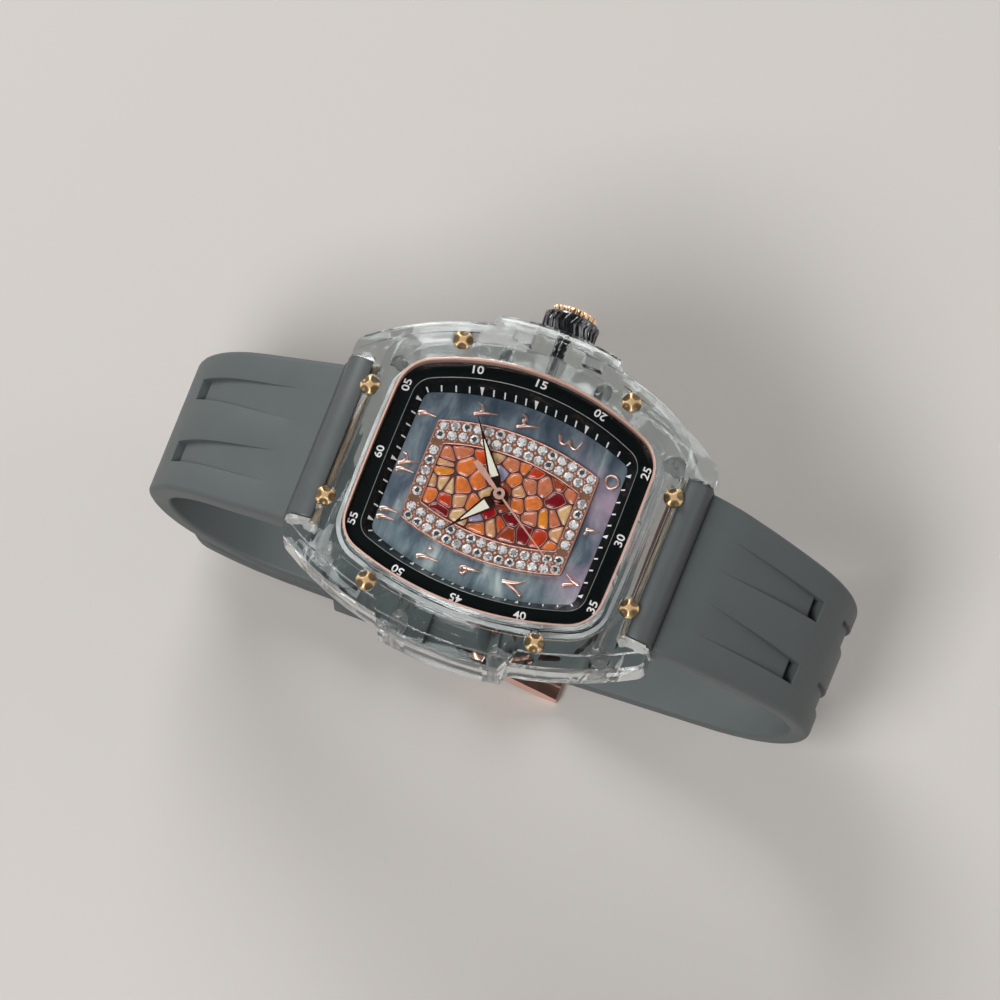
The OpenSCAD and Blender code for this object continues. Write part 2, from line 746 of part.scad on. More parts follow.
module minute_wheel() color("gold")
    translate([minute_wheel_at[0], minute_wheel_at[1], 0])
        difference() {
            union() {
                gear(36, cannon_minute_m, -1.0, -0.84, minute_wheel_dir + 180 + 5);
                gear(10, minute_hour_m, -0.84, -0.48, minute_wheel_dir + 180 + 18);
            }
            arbor(0.2, -2, 0);
        }

// The minute wheel turns on a post that stands on the main plate
module main_plate() color("goldenrod") {
    translate([minute_wheel_at[0], minute_wheel_at[1], 0])
        arbor(0.15, plate_top - 0.3, -0.48);
    difference() {
        union() {
            arbor(plate_r, plate_low, -dial_thick - gap);
            translate([battery_at[0], battery_at[1], 0])
                arbor(battery_r + 0.45, plate_low - 1.2, plate_low + 0.1);
        }
        arbor(6.2, plate_top, 1);
        translate([0, 0, 0])
            arbor(minute_pipe + running, -6, 1);
        translate([battery_at[0], battery_at[1], 0])
            arbor(battery_r + 0.05, -6, plate_low + 0.02);
        for (p = [third_at, fifth_at, rotor_at])
            translate([p[0], p[1], 0])
                arbor(0.2, plate_low - 1, plate_low + 0.5);
        arbor(4.5, plate_low - 2, plate_low);
        rod_x(stem_r - 0.1 + running, 4.7, 8, 0, dial_height + stem_z);
        rod_x(stem_r + running, 7.8, 14, 0, dial_height + stem_z);
        block([5.6, -0.85, dial_height + stem_z - 0.85], [7.8, 0.85, dial_height + 1]);
    }
}

module train_bridge() color("silver")
    difference() {
        union() {
            translate([0, 0, dial_height + bridge_top - 0.45])
                linear_extrude(0.45)
                    hull()
                        for (p = pillars)
                            translate(p)
                                circle(r = 1.2, $fn = 32);
            translate([third_at[0], third_at[1], 0])
                arbor(1.2, bridge_top - 0.45, bridge_top);
            translate([rotor_at[0], rotor_at[1], 0])
                arbor(1.4, bridge_top - 0.45, bridge_top);
            translate([fifth_at[0], fifth_at[1], 0])
                arbor(1.6, bridge_top - 0.45, bridge_top);
            for (p = pillars)
                translate([p[0], p[1], 0])
                    arbor(0.6, bridge_top - 0.1, plate_low - gap);
        }
        for (p = [third_at, fifth_at, rotor_at])
            translate([p[0], p[1], 0])
                arbor(0.2, -8, 0);
        arbor(second_pipe + running, -8, 0);
        translate([battery_at[0], battery_at[1], 0])
            arbor(battery_r + 0.15, -8, 0);
        at_clamp()
            block([-1.05, -battery_r - 1.55, -8], [1.05, battery_r + 1.55, 0]);
    }

module movement_holder() color("whitesmoke")
    difference() {
        slab(ring_outline(-holder_in - gap), dial_height - case_depth - 0.2,
             dial_height - dial_thick - gap);
        arbor(plate_r + gap, -10, 1);
        rod_x(0.7, 5, 20, 0, dial_height + stem_z);
        below_under(case_depth + gap);
    }

module battery() color("silver")
    translate([battery_at[0], battery_at[1], 0]) {
        arbor(battery_r, plate_low - battery_h, plate_low);
    }

module at_clamp() {
    translate([battery_at[0], battery_at[1], dial_height])
        rotate([0, 0, 45])
            children();
}

module battery_clamp() color("goldenrod")
    intersection() {
        at_clamp()
            block([-0.9, -battery_r - 1.4, plate_low - battery_h - 0.2],
                  [0.9, battery_r + 1.4, plate_low - battery_h - gap]);
        arbor(plate_r - 0.2, -8, 0);
    }

module coil() color([0.75, 0.4, 0.2]) {
    rod_x(1.0, -3.6, 3.0, coil_y, dial_height - 3.7);
    for (x = [-4.1, 3.0])
        rod_x(1.05, x, x + 0.5, coil_y, dial_height - 3.7);
}

module stator() color("lightgray")
    difference() {
        union() {
            block([-4.9, 3.8, dial_height - 4.3], [-3.1, coil_y - 1.25, dial_height - 3.85]);
            block([-4.9, coil_y - 1.3, dial_height - 4.3], [-4.15, coil_y + 0.9, dial_height - 3.2]);
            block([-3.2, 3.8, dial_height - 4.3], [0.2, 6.3, dial_height - 3.85]);
            block([-0.4, 6.2, dial_height - 4.3], [4.4, coil_y - 1.25, dial_height - 3.85]);
            block([3.55, coil_y - 1.3, dial_height - 4.3], [4.4, coil_y + 0.9, dial_height - 3.2]);
        }
        translate([rotor_at[0], rotor_at[1], 0])
            arbor(0.95, -6, 0);
        translate([fifth_at[0], fifth_at[1], 0])
            arbor(2.4, -3.95, 0);
        translate([fifth_at[0], fifth_at[1], 0])
            arbor(0.95, -6, 0);
        arbor(3.6, -6, 0);
        translate([pillars[1][0], pillars[1][1], 0])
            arbor(0.65, -6, 0);
    }

module circuit_board() color([0.1, 0.35, 0.2])
    difference() {
        intersection() {
            arbor(plate_r - 0.25, plate_low - 0.35, plate_low - gap);
            block([-plate_r, -plate_r, dial_height - 8], [-1.9, -3.2, dial_height]);
        }
        translate([third_at[0], third_at[1], 0])
            arbor(3.9, -8, 0);
        arbor(4.6, -8, 0);
    }

module quartz_can() color("silver")
    translate([0, 0, 0])
        rod_x(0.7, -6.8, -2.1, -8.2, dial_height + plate_low - 0.35 - 0.7 - gap);

module sliding_pinion() color("silver")
    translate([5.75, 0, dial_height + stem_z])
        rotate([0, 90, 0])
            difference() {
                linear_extrude(1.7)
                    polygon(gear_points(12, 0.11, 0));
                translate([0, 0, -1])
                    cylinder(r = stem_r - 0.1 + running, h = 4, $fn = 32);
            }

module stem() color("gray") {
    rod_x(stem_r - 0.1, 4.8, 7.9, 0, dial_height + stem_z);
    rod_x(stem_r, 7.9, crown_base + 1.4 + crown_pull, 0, dial_height + stem_z);
}

// One chevron tooth: two slanted bars that meet at the middle of the tread
module chevron() {
    lean = 9;
    mid = crown_len / 2;
    half = 180 / crown_teeth * 0.55;
    function ring_at(x, a) =
        [for (e = [[tread_r - 0.2, -half * 1.2], [crown_r, -half * 0.6], [crown_r, half * 0.6],
                   [tread_r - 0.2, half * 1.2]])
            [x, e[0] * sin(a + e[1]), e[0] * cos(a + e[1])]];
    rings = [ring_at(0, 0), ring_at(mid, lean), ring_at(crown_len - 0.25, 0)];
    points = [for (r = rings, p = r) p];
    sides = [for (j = [0, 1], i = [0:3])
        let (a = j * 4 + i, b = j * 4 + (i + 1) % 4)
        each [[a, b + 4, a + 4], [a, b, b + 4]]];
    polyhedron(points, concat(sides, [[0, 2, 1], [0, 3, 2], [8, 9, 10], [8, 10, 11]]));
}

module crown() color([0.08, 0.08, 0.09])
    translate([crown_base, 0, dial_height + stem_z])
        difference() {
            union() {
                rotate([0, 90, 0])
                    cylinder(r = tread_r, h = crown_len, $fn = 88);
                for (i = [0:crown_teeth - 1])
                    rotate([360 * i / crown_teeth, 0, 0])
                        chevron();
            }
            rotate([0, 90, 0]) {
                translate([0, 0, -1])
                    cylinder(r = tube_r + 0.35, h = 1 + 1.4, $fn = fine);
                cylinder(r = stem_r, h = 9, $fn = fine);
            }
        }

module crown_cap() color([0.88, 0.68, 0.45])
    translate([crown_base + crown_len + gap, 0, dial_height + stem_z])
        rotate([0, 90, 0])
            difference() {
                union() {
                    cylinder(r = cap_r, h = 0.75, $fn = fine);
                    translate([0, 0, 0.75])
                        cylinder(r1 = cap_r - 0.25, r2 = cap_r - 1.1, h = 0.5, $fn = fine);
                }
                for (i = [0:crown_teeth - 1])
                    rotate([0, 0, 360 * (i + 0.5) / crown_teeth])
                        translate([cap_r + 0.12, 0, -1])
                            cylinder(r = 0.26, h = 3, $fn = 16);
            }

module crown_gaskets() color([0.1, 0.1, 0.1])
    translate([crown_base, 0, dial_height + stem_z])
        rotate([0, 90, 0])
            translate([0, 0, 0.98])
                difference() {
                    cylinder(r = tube_r + 0.3, h = 0.38, $fn = 40);
                    translate([0, 0, -1])
                        cylinder(r = stem_r + 0.02, h = 3, $fn = 40);
                }

module crown_tube() color([0.12, 0.12, 0.13])
    difference() {
        rod_x(tube_r - 0.01, tube_in + 0.02, tube_out + 0.9, 0, dial_height + stem_z);
        rod_x(stem_r + running, 5, 40, 0, dial_height + stem_z);
        for (x = [tube_in + 0.7, tube_in + 1.5])
            difference() {
                rod_x(tube_r + 1, x, x + 0.3, 0, dial_height + stem_z);
                rod_x(tube_r - 0.2, x - 1, x + 2, 0, dial_height + stem_z);
            }
    }

// A domed screw with a shallow cross recess
module dome_screw(len) {
    difference() {
        union() {
            cylinder(d = screw_head_d, h = 0.55, $fn = 48);
            translate([0, 0, 0.55])
                cylinder(d1 = screw_head_d, d2 = screw_head_d * 0.55, h = 0.45, $fn = 48);
            translate([0, 0, -len])
                cylinder(r = shank_r, h = len + 0.1, $fn = 32);
        }
        for (a = [0, 90])
            rotate([0, 0, a + 20])
                translate([-2, -0.16, 0.5])
                    cube([4, 0.32, 2]);
    }
}

module bezel_screws() color([0.85, 0.65, 0.38])
    at_bezel_screws()
        translate([0, 0, gap])
            dome_screw(shank_len - 0.1);

module back_screws() color("silver")
    at_back_screws()
        difference() {
            union() {
                translate([0, 0, 0.15])
                    cylinder(r = 1.05, h = 0.7, $fn = 40);
                cylinder(r = shank_r, h = 4.6, $fn = 32);
            }
            translate([-0.15, -2, -1])
                cube([0.3, 4, 1.5]);
        }

module clamp_bars() color([0.85, 0.65, 0.52])
    for (s = [0, 1])
        mirror([0, s, 0])
            difference() {
                rod_x(clamp_bar_r, -strap_wide / 2, strap_wide / 2, end_screw_y, dial_height + bar_z);
                for (x = [-end_screw_x, end_screw_x])
                    translate([x, end_screw_y, dial_height + bar_z - 2])
                        cylinder(r = shank_r + 0.01, h = 4, $fn = 32);
            }

// A route is a start [out, z, heading] and legs [radius, turn] or [0, length] for a straight.
// Heading is in degrees below the horizontal, away from the case; turning is always inwards.
function leg_len(leg) = leg[0] == 0 ? leg[1] : leg[0] * leg[1] * PI / 180;
function step(p, leg, s) =
    leg[0] == 0
    ? [p[0] + s * cos(p[2]), p[1] - s * sin(p[2]), p[2]]
    : let (h = p[2] + s / leg[0] * 180 / PI)
      [p[0] + leg[0] * (sin(h) - sin(p[2])), p[1] - leg[0] * (cos(p[2]) - cos(h)), h];
function along(p, legs, s, i = 0) =
    let (l = leg_len(legs[i]))
    s <= l || i == len(legs) - 1 ? step(p, legs[i], s) : along(step(p, legs[i], l), legs, s - l, i + 1);
function total(legs, i = 0) = i == len(legs) ? 0 : leg_len(legs[i]) + total(legs, i + 1);

// Layers of the strap at the bottom of the loop, from the ground up
tail_z = keeper_wall + 0.1;
short_z = tail_z + tail_thick + 0.3;
keeper_top = short_z + short_thick + 0.1;
buckle_z = short_z + short_thick / 2;

// The buckle half: straight out of the case, one bend under the wrist, then flat to the bar
short_start = [half_l + 0.45, dial_height - 6.3, 30];
short_bow = [0, 13.3];
short_low = step(short_start, short_bow, leg_len(short_bow));
short_bend_r = (short_low[1] - short_z) / (1 + cos(short_low[2]));
short_bend = [short_bend_r, 180 - short_low[2]];
short_flat = step(short_low, short_bend, leg_len(short_bend));
short_legs = [short_bow, short_bend, [0, short_flat[0] - bar_y]];

// The long half: out level, round the wrist, down a slope to the buckle, flat, and up the bend
slope_head = 168;
blend_r = 20;
flat_from = 1.0;
tail_start = [half_l - 0.25, dial_height - 3.0, 10];
tail_shoulder = [[14, 26], [67, 11.5], [17.5, 42.5]];
tail_low = along(tail_start, tail_shoulder, total(tail_shoulder));
tail_drop = tail_low[1] - tail_z - blend_r * (1 + cos(slope_head));
tail_in = tail_low[0] - flat_from - blend_r * sin(slope_head);
slope_len = (tail_in - tail_drop * (1 - sin(slope_head)) / -cos(slope_head))
    / (-cos(slope_head) + sin(slope_head) * (1 - sin(slope_head)) / cos(slope_head));
low_r = (tail_drop - slope_len * sin(slope_head)) / -cos(slope_head);
tail_bend_r = short_bend_r + 0.3 + tail_thick;
tail_flat_len = flat_from + short_flat[0];
tail_wrap = 45;
tail_legs = concat(tail_shoulder, [[low_r, slope_head - 90], [0, slope_len],
    [blend_r, 180 - slope_head], [0, tail_flat_len], [tail_bend_r, tail_wrap]]);
short_total = total(short_legs);
tail_total = total(tail_legs);
flat_start = tail_total - leg_len([tail_bend_r, tail_wrap]) - tail_flat_len;

// Width and thickness along a half: tapering over the first part, then even
taper_len = 35;
function half_width(s) = (strap_wide + (strap_narrow - strap_wide) * min(max(s, 0) / taper_len, 1)) / 2;
function thick_at(s, last) = strap_thick + (last - strap_thick) * min(max(s, 0) / taper_len, 1);

// One ring of points across the strap at s: chamfered corners, depths measured in from the face
function section(p, w0, w1, top, low, edge) =
    let (out = [sin(p[2]), cos(p[2])])
    [for (q = [[w1 - edge, top], [w1, top - edge], [w1, low + edge], [w1 - edge, low],
               [w0 + edge, low], [w0, low + edge], [w0, top - edge], [w0 + edge, top]])
        [q[0], p[0] + q[1] * out[0], p[1] + q[1] * out[1]]];

// Closed solid through a list of eight-sided rings
module sweep(rings) {
    n = len(rings[0]);
    last = (len(rings) - 1) * n;
    sides = [for (j = [0:len(rings) - 2], i = [0:n - 1])
        let (a = j * n + i, b = j * n + (i + 1) % n)
        each [[a, b + n, b], [a, a + n, b + n]]];
    caps = [for (i = [1:n - 2]) each [[0, i, i + 1], [last, last + i + 1, last + i]]];
    polyhedron([for (r = rings, p = r) p], concat(sides, caps));
}

strap_step = 2.4;
function stations(s0, s1, step) = let (n = ceil((s1 - s0) / step)) [for (i = [0:n]) s0 + (s1 - s0) * i / n];

// The end of a strap half in the case: ridge, block under it and the lip under the clamp bar
module strap_end(start, heading) {
    hw = strap_wide / 2;
    ridge_y = half_l - ridge_r;
    ridge_z = dial_height + bar_z + 0.5;
    n_in = [-sin(heading), -cos(heading)] * strap_thick;
    intersection() {
        rod_x(ridge_r, -hw, hw, ridge_y, ridge_z);
        block([-hw, slot_y + 0.15, 0], [hw, big, big]);
    }
    translate([-hw, 0, 0])
        rotate([90, 0, 90])
            linear_extrude(2 * hw)
                polygon([[slot_y + 0.15, ridge_z], [half_l, ridge_z], [start[0] + 0.3, start[1]],
                         [start[0] + n_in[0] + 0.3, start[1] + n_in[1]],
                         [slot_y + 0.15, dial_height + lip_top - lip_thick]]);
    block([-hw, undercut_y + 0.15, dial_height + lip_top - lip_thick],
          [hw, slot_y + 0.3, dial_height + lip_top]);
}

// A pair of wedge grooves: nothing deep at from, and at to a square end with a slot sunk in the floor
module grooves(start, legs, from, to) {
    low = from < to ? to - slot_long : to - 0.05;
    for (side = [-1, 1]) {
        c = side * groove_pitch / 2;
        sweep([for (s = stations(min(from, to), max(from, to), strap_step))
            let (t = (s - from) / (to - from), w = 2.2 - 0.8 * t)
            section(along(start, legs, s), c - w, c + w, 1, -groove_floor * t - 0.02, 0.02)]);
        sweep([for (s = stations(low, low + slot_long + 0.05, strap_step))
            section(along(start, legs, s), c - 1.38, c + 1.38, 1, -groove_deep, 0.02)]);
    }
}

module strap_12() color([0.42, 0.43, 0.43])
    difference() {
        union() {
            strap_end(short_start, short_start[2]);
            sweep([for (s = stations(0, short_total, strap_step))
                section(along(short_start, short_legs, s), -half_width(s), half_width(s), 0,
                        -thick_at(s, short_thick), 0.5)]);
            rod_x(short_thick / 2, -half_width(99) + 0.02, half_width(99) - 0.02, bar_y, buckle_z);
        }
        grooves(short_start, short_legs, 5, 23.5);
        grooves(short_start, short_legs, 52, 29.5);
        rod_x(bar_r + running, -20, 20, bar_y, buckle_z);
        block([-1.7, bar_y - 3, buckle_z - 4], [1.7, bar_y + 2.1, buckle_z + 4]);
    }

slot_at = -4.15;

module strap_6() color([0.36, 0.38, 0.38])
    mirror([0, 1, 0])
        difference() {
            union() {
                strap_end(tail_start, tail_start[2]);
                sweep([for (s = stations(0, tail_total, strap_step))
                    let (tip = max(0, s - tail_total + 5) / 5)
                    section(along(tail_start, tail_legs, s), -half_width(s) + 3.2 * tip * tip,
                            half_width(s) - 3.2 * tip * tip, 0, -thick_at(s, tail_thick), 0.5)]);
            }
            grooves(tail_start, tail_legs, 4, 22);
            grooves(tail_start, tail_legs, 47, 28);
            for (i = [0:hole_count - 1])
                tongue_slot(flat_start + slot_at + flat_from + (i - 2) * hole_pitch,
                            i == 2 ? 4.9 : 3.0);
        }

// An oblong hole through the tail, at distance s along it
module tongue_slot(s, len) {
    p = along(tail_start, tail_legs, s);
    translate([0, p[0], p[1]])
        rotate([p[2] - 180, 0, 0])
            for (e = [-1, 1])
                translate([0, e * (len / 2 - 1.3), -4])
                    cylinder(r = 1.3, h = 10, $fn = 32);
    translate([0, p[0], p[1]])
        rotate([p[2] - 180, 0, 0])
            block([-1.3, -len / 2 + 1.3, -4], [1.3, len / 2 - 1.3, 6]);
}

module keeper(y0) {
    w = half_width(99) + 0.2;
    difference() {
        block([-w - keeper_wall, y0, 0], [w + keeper_wall, y0 + keeper_len, keeper_top + keeper_wall]);
        block([-w, y0 - 1, keeper_wall], [w, y0 + keeper_len + 1, keeper_top]);
    }
}

module keeper_fixed() color([0.4, 0.41, 0.41])
    keeper(bar_y + 5.4);

module keeper_loose() color([0.4, 0.41, 0.41])
    keeper(bar_y + 5.4 + keeper_len + keeper_travel + 0.4);

// The buckle
arm_x = strap_narrow / 2 + 0.5;
arm_w = 1.6;
cross_y = bar_y - frame_reach;
cross_len = 2.2;
cross_h = 1.75;

module buckle_bar() color("silver")
    rod_x(bar_r, -arm_x - arm_w + 0.1, arm_x + arm_w - 0.1, bar_y, buckle_z);

module buckle_frame() color([0.85, 0.65, 0.5])
    difference() {
        union() {
            for (x = [-arm_x - arm_w, arm_x])
                translate([x, 0, 0])
                    rotate([90, 0, 90])
                        linear_extrude(arm_w)
                            polygon([[cross_y, 0], [cross_y + cross_len, 0], [bar_y + 1.4, buckle_z - 1.2],
                                     [bar_y + 1.6, buckle_z], [bar_y + 1.2, buckle_z + 1.2],
                                     [bar_y - 0.8, buckle_z + 1.5], [cross_y, cross_h]]);
            block([-arm_x - 0.1, cross_y, 0], [arm_x + 0.1, cross_y + cross_len, cross_h]);
        }
        rod_x(bar_r + running, -20, 20, bar_y, buckle_z);
        block([-1.5, cross_y - 1, -1], [1.5, cross_y + cross_len + 1, 1.02]);
    }

module buckle_tongue() color([0.85, 0.65, 0.5])
    difference() {
        union() {
            rod_x(bar_r + 0.6, -1.25, 1.25, bar_y, buckle_z);
            translate([-1.0, 0, 0])
                rotate([90, 0, 90])
                    linear_extrude(2.0)
                        polygon([[bar_y, buckle_z + 0.4], [-3.23, buckle_z - 0.02],
                                 [-5.85, 0.98], [cross_y + 0.2, 0.85], [cross_y + 0.2, 0.15],
                                 [-5.4, 0.26], [-2.77, buckle_z - 0.8], [bar_y, buckle_z - 0.4]]);
        }
        rod_x(bar_r + running, -20, 20, bar_y, buckle_z);
    }

// Moves the watch so that the origin lies under the middle of its bounding box
cap_end = crown_base + crown_len + gap + 1.25;
loop_12 = short_low[0] + short_bend_r * (1 - sin(short_low[2]));
module place() {
    translate([-(cap_end - half_w - shoulder_out) / 2, -(loop_12 - tail_low[0]) / 2, 0])
        children();
}

place() case_band();
place() bezel();
place() case_back();
place() back_gasket();
place() bezel_gasket();
place() crystal();
place() crystal_ring();
place() chapter_ring();
place() dial();
place() hour_numerals();
place() gem_frame();
place() gems();
place() mosaic_plate();
place() hour_hand();
place() hour_lume();
place() minute_hand();
place() minute_lume();
place() second_hand();
place() hour_wheel();
place() centre_wheel();
place() seconds_wheel();
place() third_wheel();
place() fifth_wheel();
place() rotor();
place() minute_wheel();
place() main_plate();
place() train_bridge();
place() movement_holder();
place() battery();
place() battery_clamp();
place() coil();
place() stator();
place() circuit_board();
place() quartz_can();
place() sliding_pinion();
place() stem();
place() crown();
place() crown_cap();
place() crown_gaskets();
place() crown_tube();
place() bezel_screws();
place() back_screws();
place() clamp_bars();
place() strap_12();
place() strap_6();
place() keeper_fixed();
place() keeper_loose();
place() buckle_bar();
place() buckle_frame();
place() buckle_tongue();
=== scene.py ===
# %% [markdown]
# # A quartz wristwatch in a clear barrel-shaped case
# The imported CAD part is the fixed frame: every solid of the watch stands in its place already, in metres,
# with X to the crown, Y to 12 o'clock and Z up out of the dial. This lesson dresses it: some solids only
# get a finish, others are replaced by a finer surface worked out with numpy.

# %% Load the watch
import math
import bmesh
import bpy
import numpy as np
from mathutils import Matrix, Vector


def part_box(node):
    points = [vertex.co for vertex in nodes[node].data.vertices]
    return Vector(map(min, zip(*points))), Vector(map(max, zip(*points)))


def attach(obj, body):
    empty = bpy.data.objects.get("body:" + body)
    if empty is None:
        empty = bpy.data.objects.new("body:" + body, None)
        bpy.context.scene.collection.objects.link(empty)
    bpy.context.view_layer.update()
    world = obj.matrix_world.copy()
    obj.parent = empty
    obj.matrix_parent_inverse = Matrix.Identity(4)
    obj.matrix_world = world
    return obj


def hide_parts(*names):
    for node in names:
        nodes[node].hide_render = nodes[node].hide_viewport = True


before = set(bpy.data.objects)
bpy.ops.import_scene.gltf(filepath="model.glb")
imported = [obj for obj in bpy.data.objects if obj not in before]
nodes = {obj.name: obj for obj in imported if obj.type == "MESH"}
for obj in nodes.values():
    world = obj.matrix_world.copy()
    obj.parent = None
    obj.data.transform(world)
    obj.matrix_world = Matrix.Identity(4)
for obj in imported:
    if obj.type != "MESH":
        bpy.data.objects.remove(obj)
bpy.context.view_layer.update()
dial_low, dial_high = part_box("dial")
MM = 0.001
centre_x = (dial_low[0] + dial_high[0]) / 2
centre_y = (dial_low[1] + dial_high[1]) / 2
dial_z = dial_high[2]
DIAL = dial_z / MM
print("watch axis at", centre_x, centre_y, "dial face at", dial_z, "with", len(nodes), "solids")

# %% [markdown]
# ## Small helpers
# All sizes below are written in millimetres from the watch's own axis, as a watchmaker would. One function
# turns such points into metres in the part's frame, another makes a mesh of any grid of points. A grid can
# wrap round in either direction, and its open ends can be closed with flat caps. The sizes of the case that
# several cells need stand here too: half its length and width, the shoulder between its end and the place
# where the strap's ridge begins, and the radius of the arch of its front.

# %% Points, meshes and smooth shading
half_long, half_wide, shoulder_long, front_r = 25.15, 21.5, 3.6, 62
circle = np.linspace(0, 2 * math.pi, 33)[:-1]


def place(points):
    """Millimetres from the watch axis, with z measured from the ground, to metres in the part's frame."""
    return np.asarray(points, float) * MM + np.array([centre_x, centre_y, 0.0])


def grid_faces(rows, cols, wrap_rows=False, wrap_cols=False, caps=False):
    """Quads that join each grid point to its neighbours; caps close the first and last row."""
    index = np.arange(rows * cols).reshape(rows, cols)
    right = np.roll(index, -1, axis=1)
    quads = np.stack([index, right, np.roll(right, -1, axis=0), np.roll(index, -1, axis=0)], axis=-1)
    quads = quads[: rows if wrap_rows else rows - 1, : cols if wrap_cols else cols - 1].reshape(-1, 4)
    faces = quads.tolist()
    if caps:
        faces += [index[0, ::-1].tolist(), index[-1].tolist()]
    return faces


def mesh_piece(name, points, faces, material, body="watch", smooth=40):
    """A mesh object of the given points (mm) and faces, shaded smooth below an angle of smooth degrees."""
    mesh = bpy.data.meshes.new(name)
    mesh.from_pydata(place(points).reshape(-1, 3).tolist(), [], faces)
    mesh.validate()
    mesh.materials.append(material)
    piece = bpy.data.objects.new(name, mesh)
    bpy.context.scene.collection.objects.link(piece)
    if smooth:
        mesh.shade_smooth()
        mesh.set_sharp_from_angle(angle=math.radians(smooth))
    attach(piece, body)
    return piece


def fix_normals(piece):
    """Turns every face of a closed mesh outwards, after points in the same place are merged."""
    work = bmesh.new()
    work.from_mesh(piece.data)
    bmesh.ops.remove_doubles(work, verts=work.verts, dist=1e-7)
    bmesh.ops.recalc_face_normals(work, faces=work.faces)
    work.to_mesh(piece.data)
    work.free()


def join_grids(grids):
    """Several (points, faces) pairs as one pair, with the face numbers moved along."""
    points, faces, count = [], [], 0
    for p, f in grids:
        p = np.asarray(p).reshape(-1, 3)
        points.append(p)
        faces += [[i + count for i in face] for face in f]
        count += len(p)
    return np.concatenate(points), faces


def copies(faces, size, times):
    """The faces of one form of size points, repeated for that many copies of its points."""
    return [[v + k * size for v in face] for k in range(times) for face in faces]


def turned(profile, x=0.0, y=0.0):
    """A form turned about the upright line through x, y: profile lists its (radius, height) steps."""
    rows = [np.stack([x + r * np.cos(circle), y + r * np.sin(circle), np.full(32, z)], 1)
            for r, z in profile]
    return np.stack(rows), grid_faces(len(profile), 32, wrap_cols=True, caps=True)


# %% [markdown]
# ## Finishes
# Every finish is a Principled BSDF. Its even values sit on the shader's own sockets, and noise nodes on
# Object coordinates give the small changes of tone and roughness that moulded, plated and polished
# surfaces have. Colours are written as they look on a screen, from 0 to 255.

# %% A builder of finishes
def screen(r, g, b):
    """Screen colour 0-255 as the linear values that a shader wants."""
    c = np.array([r, g, b]) / 255.0
    return tuple(np.where(c <= 0.04045, c / 12.92, ((c + 0.055) / 1.055) ** 2.4)) + (1.0,)


def node(tree, kind, inputs=None, **settings):
    """A new shader node: inputs maps its sockets to values or to other nodes' outputs."""
    made = tree.nodes.new("ShaderNode" + kind)
    for key, value in settings.items():
        setattr(made, key, value)
    for socket, value in (inputs or {}).items():
        if isinstance(value, bpy.types.NodeSocket):
            tree.links.new(value, made.inputs[socket])
        else:
            made.inputs[socket].default_value = value
    return made


def ramp(tree, factor, steps):
    """The output of a colour ramp through (position, linear colour) steps."""
    made = node(tree, "ValToRGB", {"Fac": factor})
    elements = made.color_ramp.elements
    while len(elements) < len(steps):
        elements.new(0.5)
    for element, (position, colour) in zip(elements, steps):
        element.position, element.color = position, colour
    return made.outputs["Color"]


def finish(name, colour, rough=0.4, metal=0.0, tone=0.08, grain=900.0, bump=0.0, bump_grain=6000.0,
           **sockets):
    """A finish whose colour and roughness wander a little with a noise of grain cycles per metre.

    Colour = base * (1 - tone ... 1 + tone), roughness = rough * (0.85 ... 1.15), both led by one noise;
    a second, finer noise lifts the surface by bump. Other sockets are named as Blender names them.
    """
    material = bpy.data.materials.new(name)
    material.use_nodes = True
    tree = material.node_tree
    shader = tree.nodes["Principled BSDF"]
    shader.inputs["Metallic"].default_value = metal
    for key, value in sockets.items():
        shader.inputs[key.replace("_", " ")].default_value = value
    where = node(tree, "TexCoord").outputs["Object"]
    noise = node(tree, "TexNoise", {"Vector": where, "Scale": grain, "Detail": 4.0}).outputs["Fac"]
    base = np.array(screen(*colour)[:3])
    low, high = base * (1 - tone), np.minimum(base * (1 + tone), 1)
    shades = ramp(tree, noise, [(0.3, (*low, 1.0)), (0.7, (*high, 1.0))])
    tree.links.new(shades, shader.inputs["Base Color"])
    spread = node(tree, "MapRange", {"Value": noise, "To Min": rough * 0.85,
                                     "To Max": min(rough * 1.15, 1.0)})
    tree.links.new(spread.outputs["Result"], shader.inputs["Roughness"])
    if bump:
        fine = node(tree, "TexNoise", {"Vector": where, "Scale": bump_grain, "Detail": 3.0})
        relief = node(tree, "Bump", {"Strength": bump, "Distance": 0.00005, "Height": fine.outputs["Fac"]})
        tree.links.new(relief.outputs["Normal"], shader.inputs["Normal"])
    return material


def tinted(material, attribute):
    """Multiplies a finish's colour by a colour attribute on the piece's points or corners."""
    tree = material.node_tree
    colour = tree.nodes["Principled BSDF"].inputs["Base Color"]
    own = node(tree, "Attribute", attribute_name=attribute)
    times = node(tree, "VectorMath", {0: colour.links[0].from_socket, 1: own.outputs["Color"]},
                 operation="MULTIPLY")
    tree.links.new(times.outputs[0], colour)
    return material


def paint(piece, name, colours, domain="POINT"):
    """Stores one linear colour for each point or corner of a piece, for tinted() to read."""
    layer = piece.data.color_attributes.new(name, "FLOAT_COLOR", domain)
    layer.data.foreach_set("color", np.column_stack([colours, np.ones(len(colours))]).ravel())


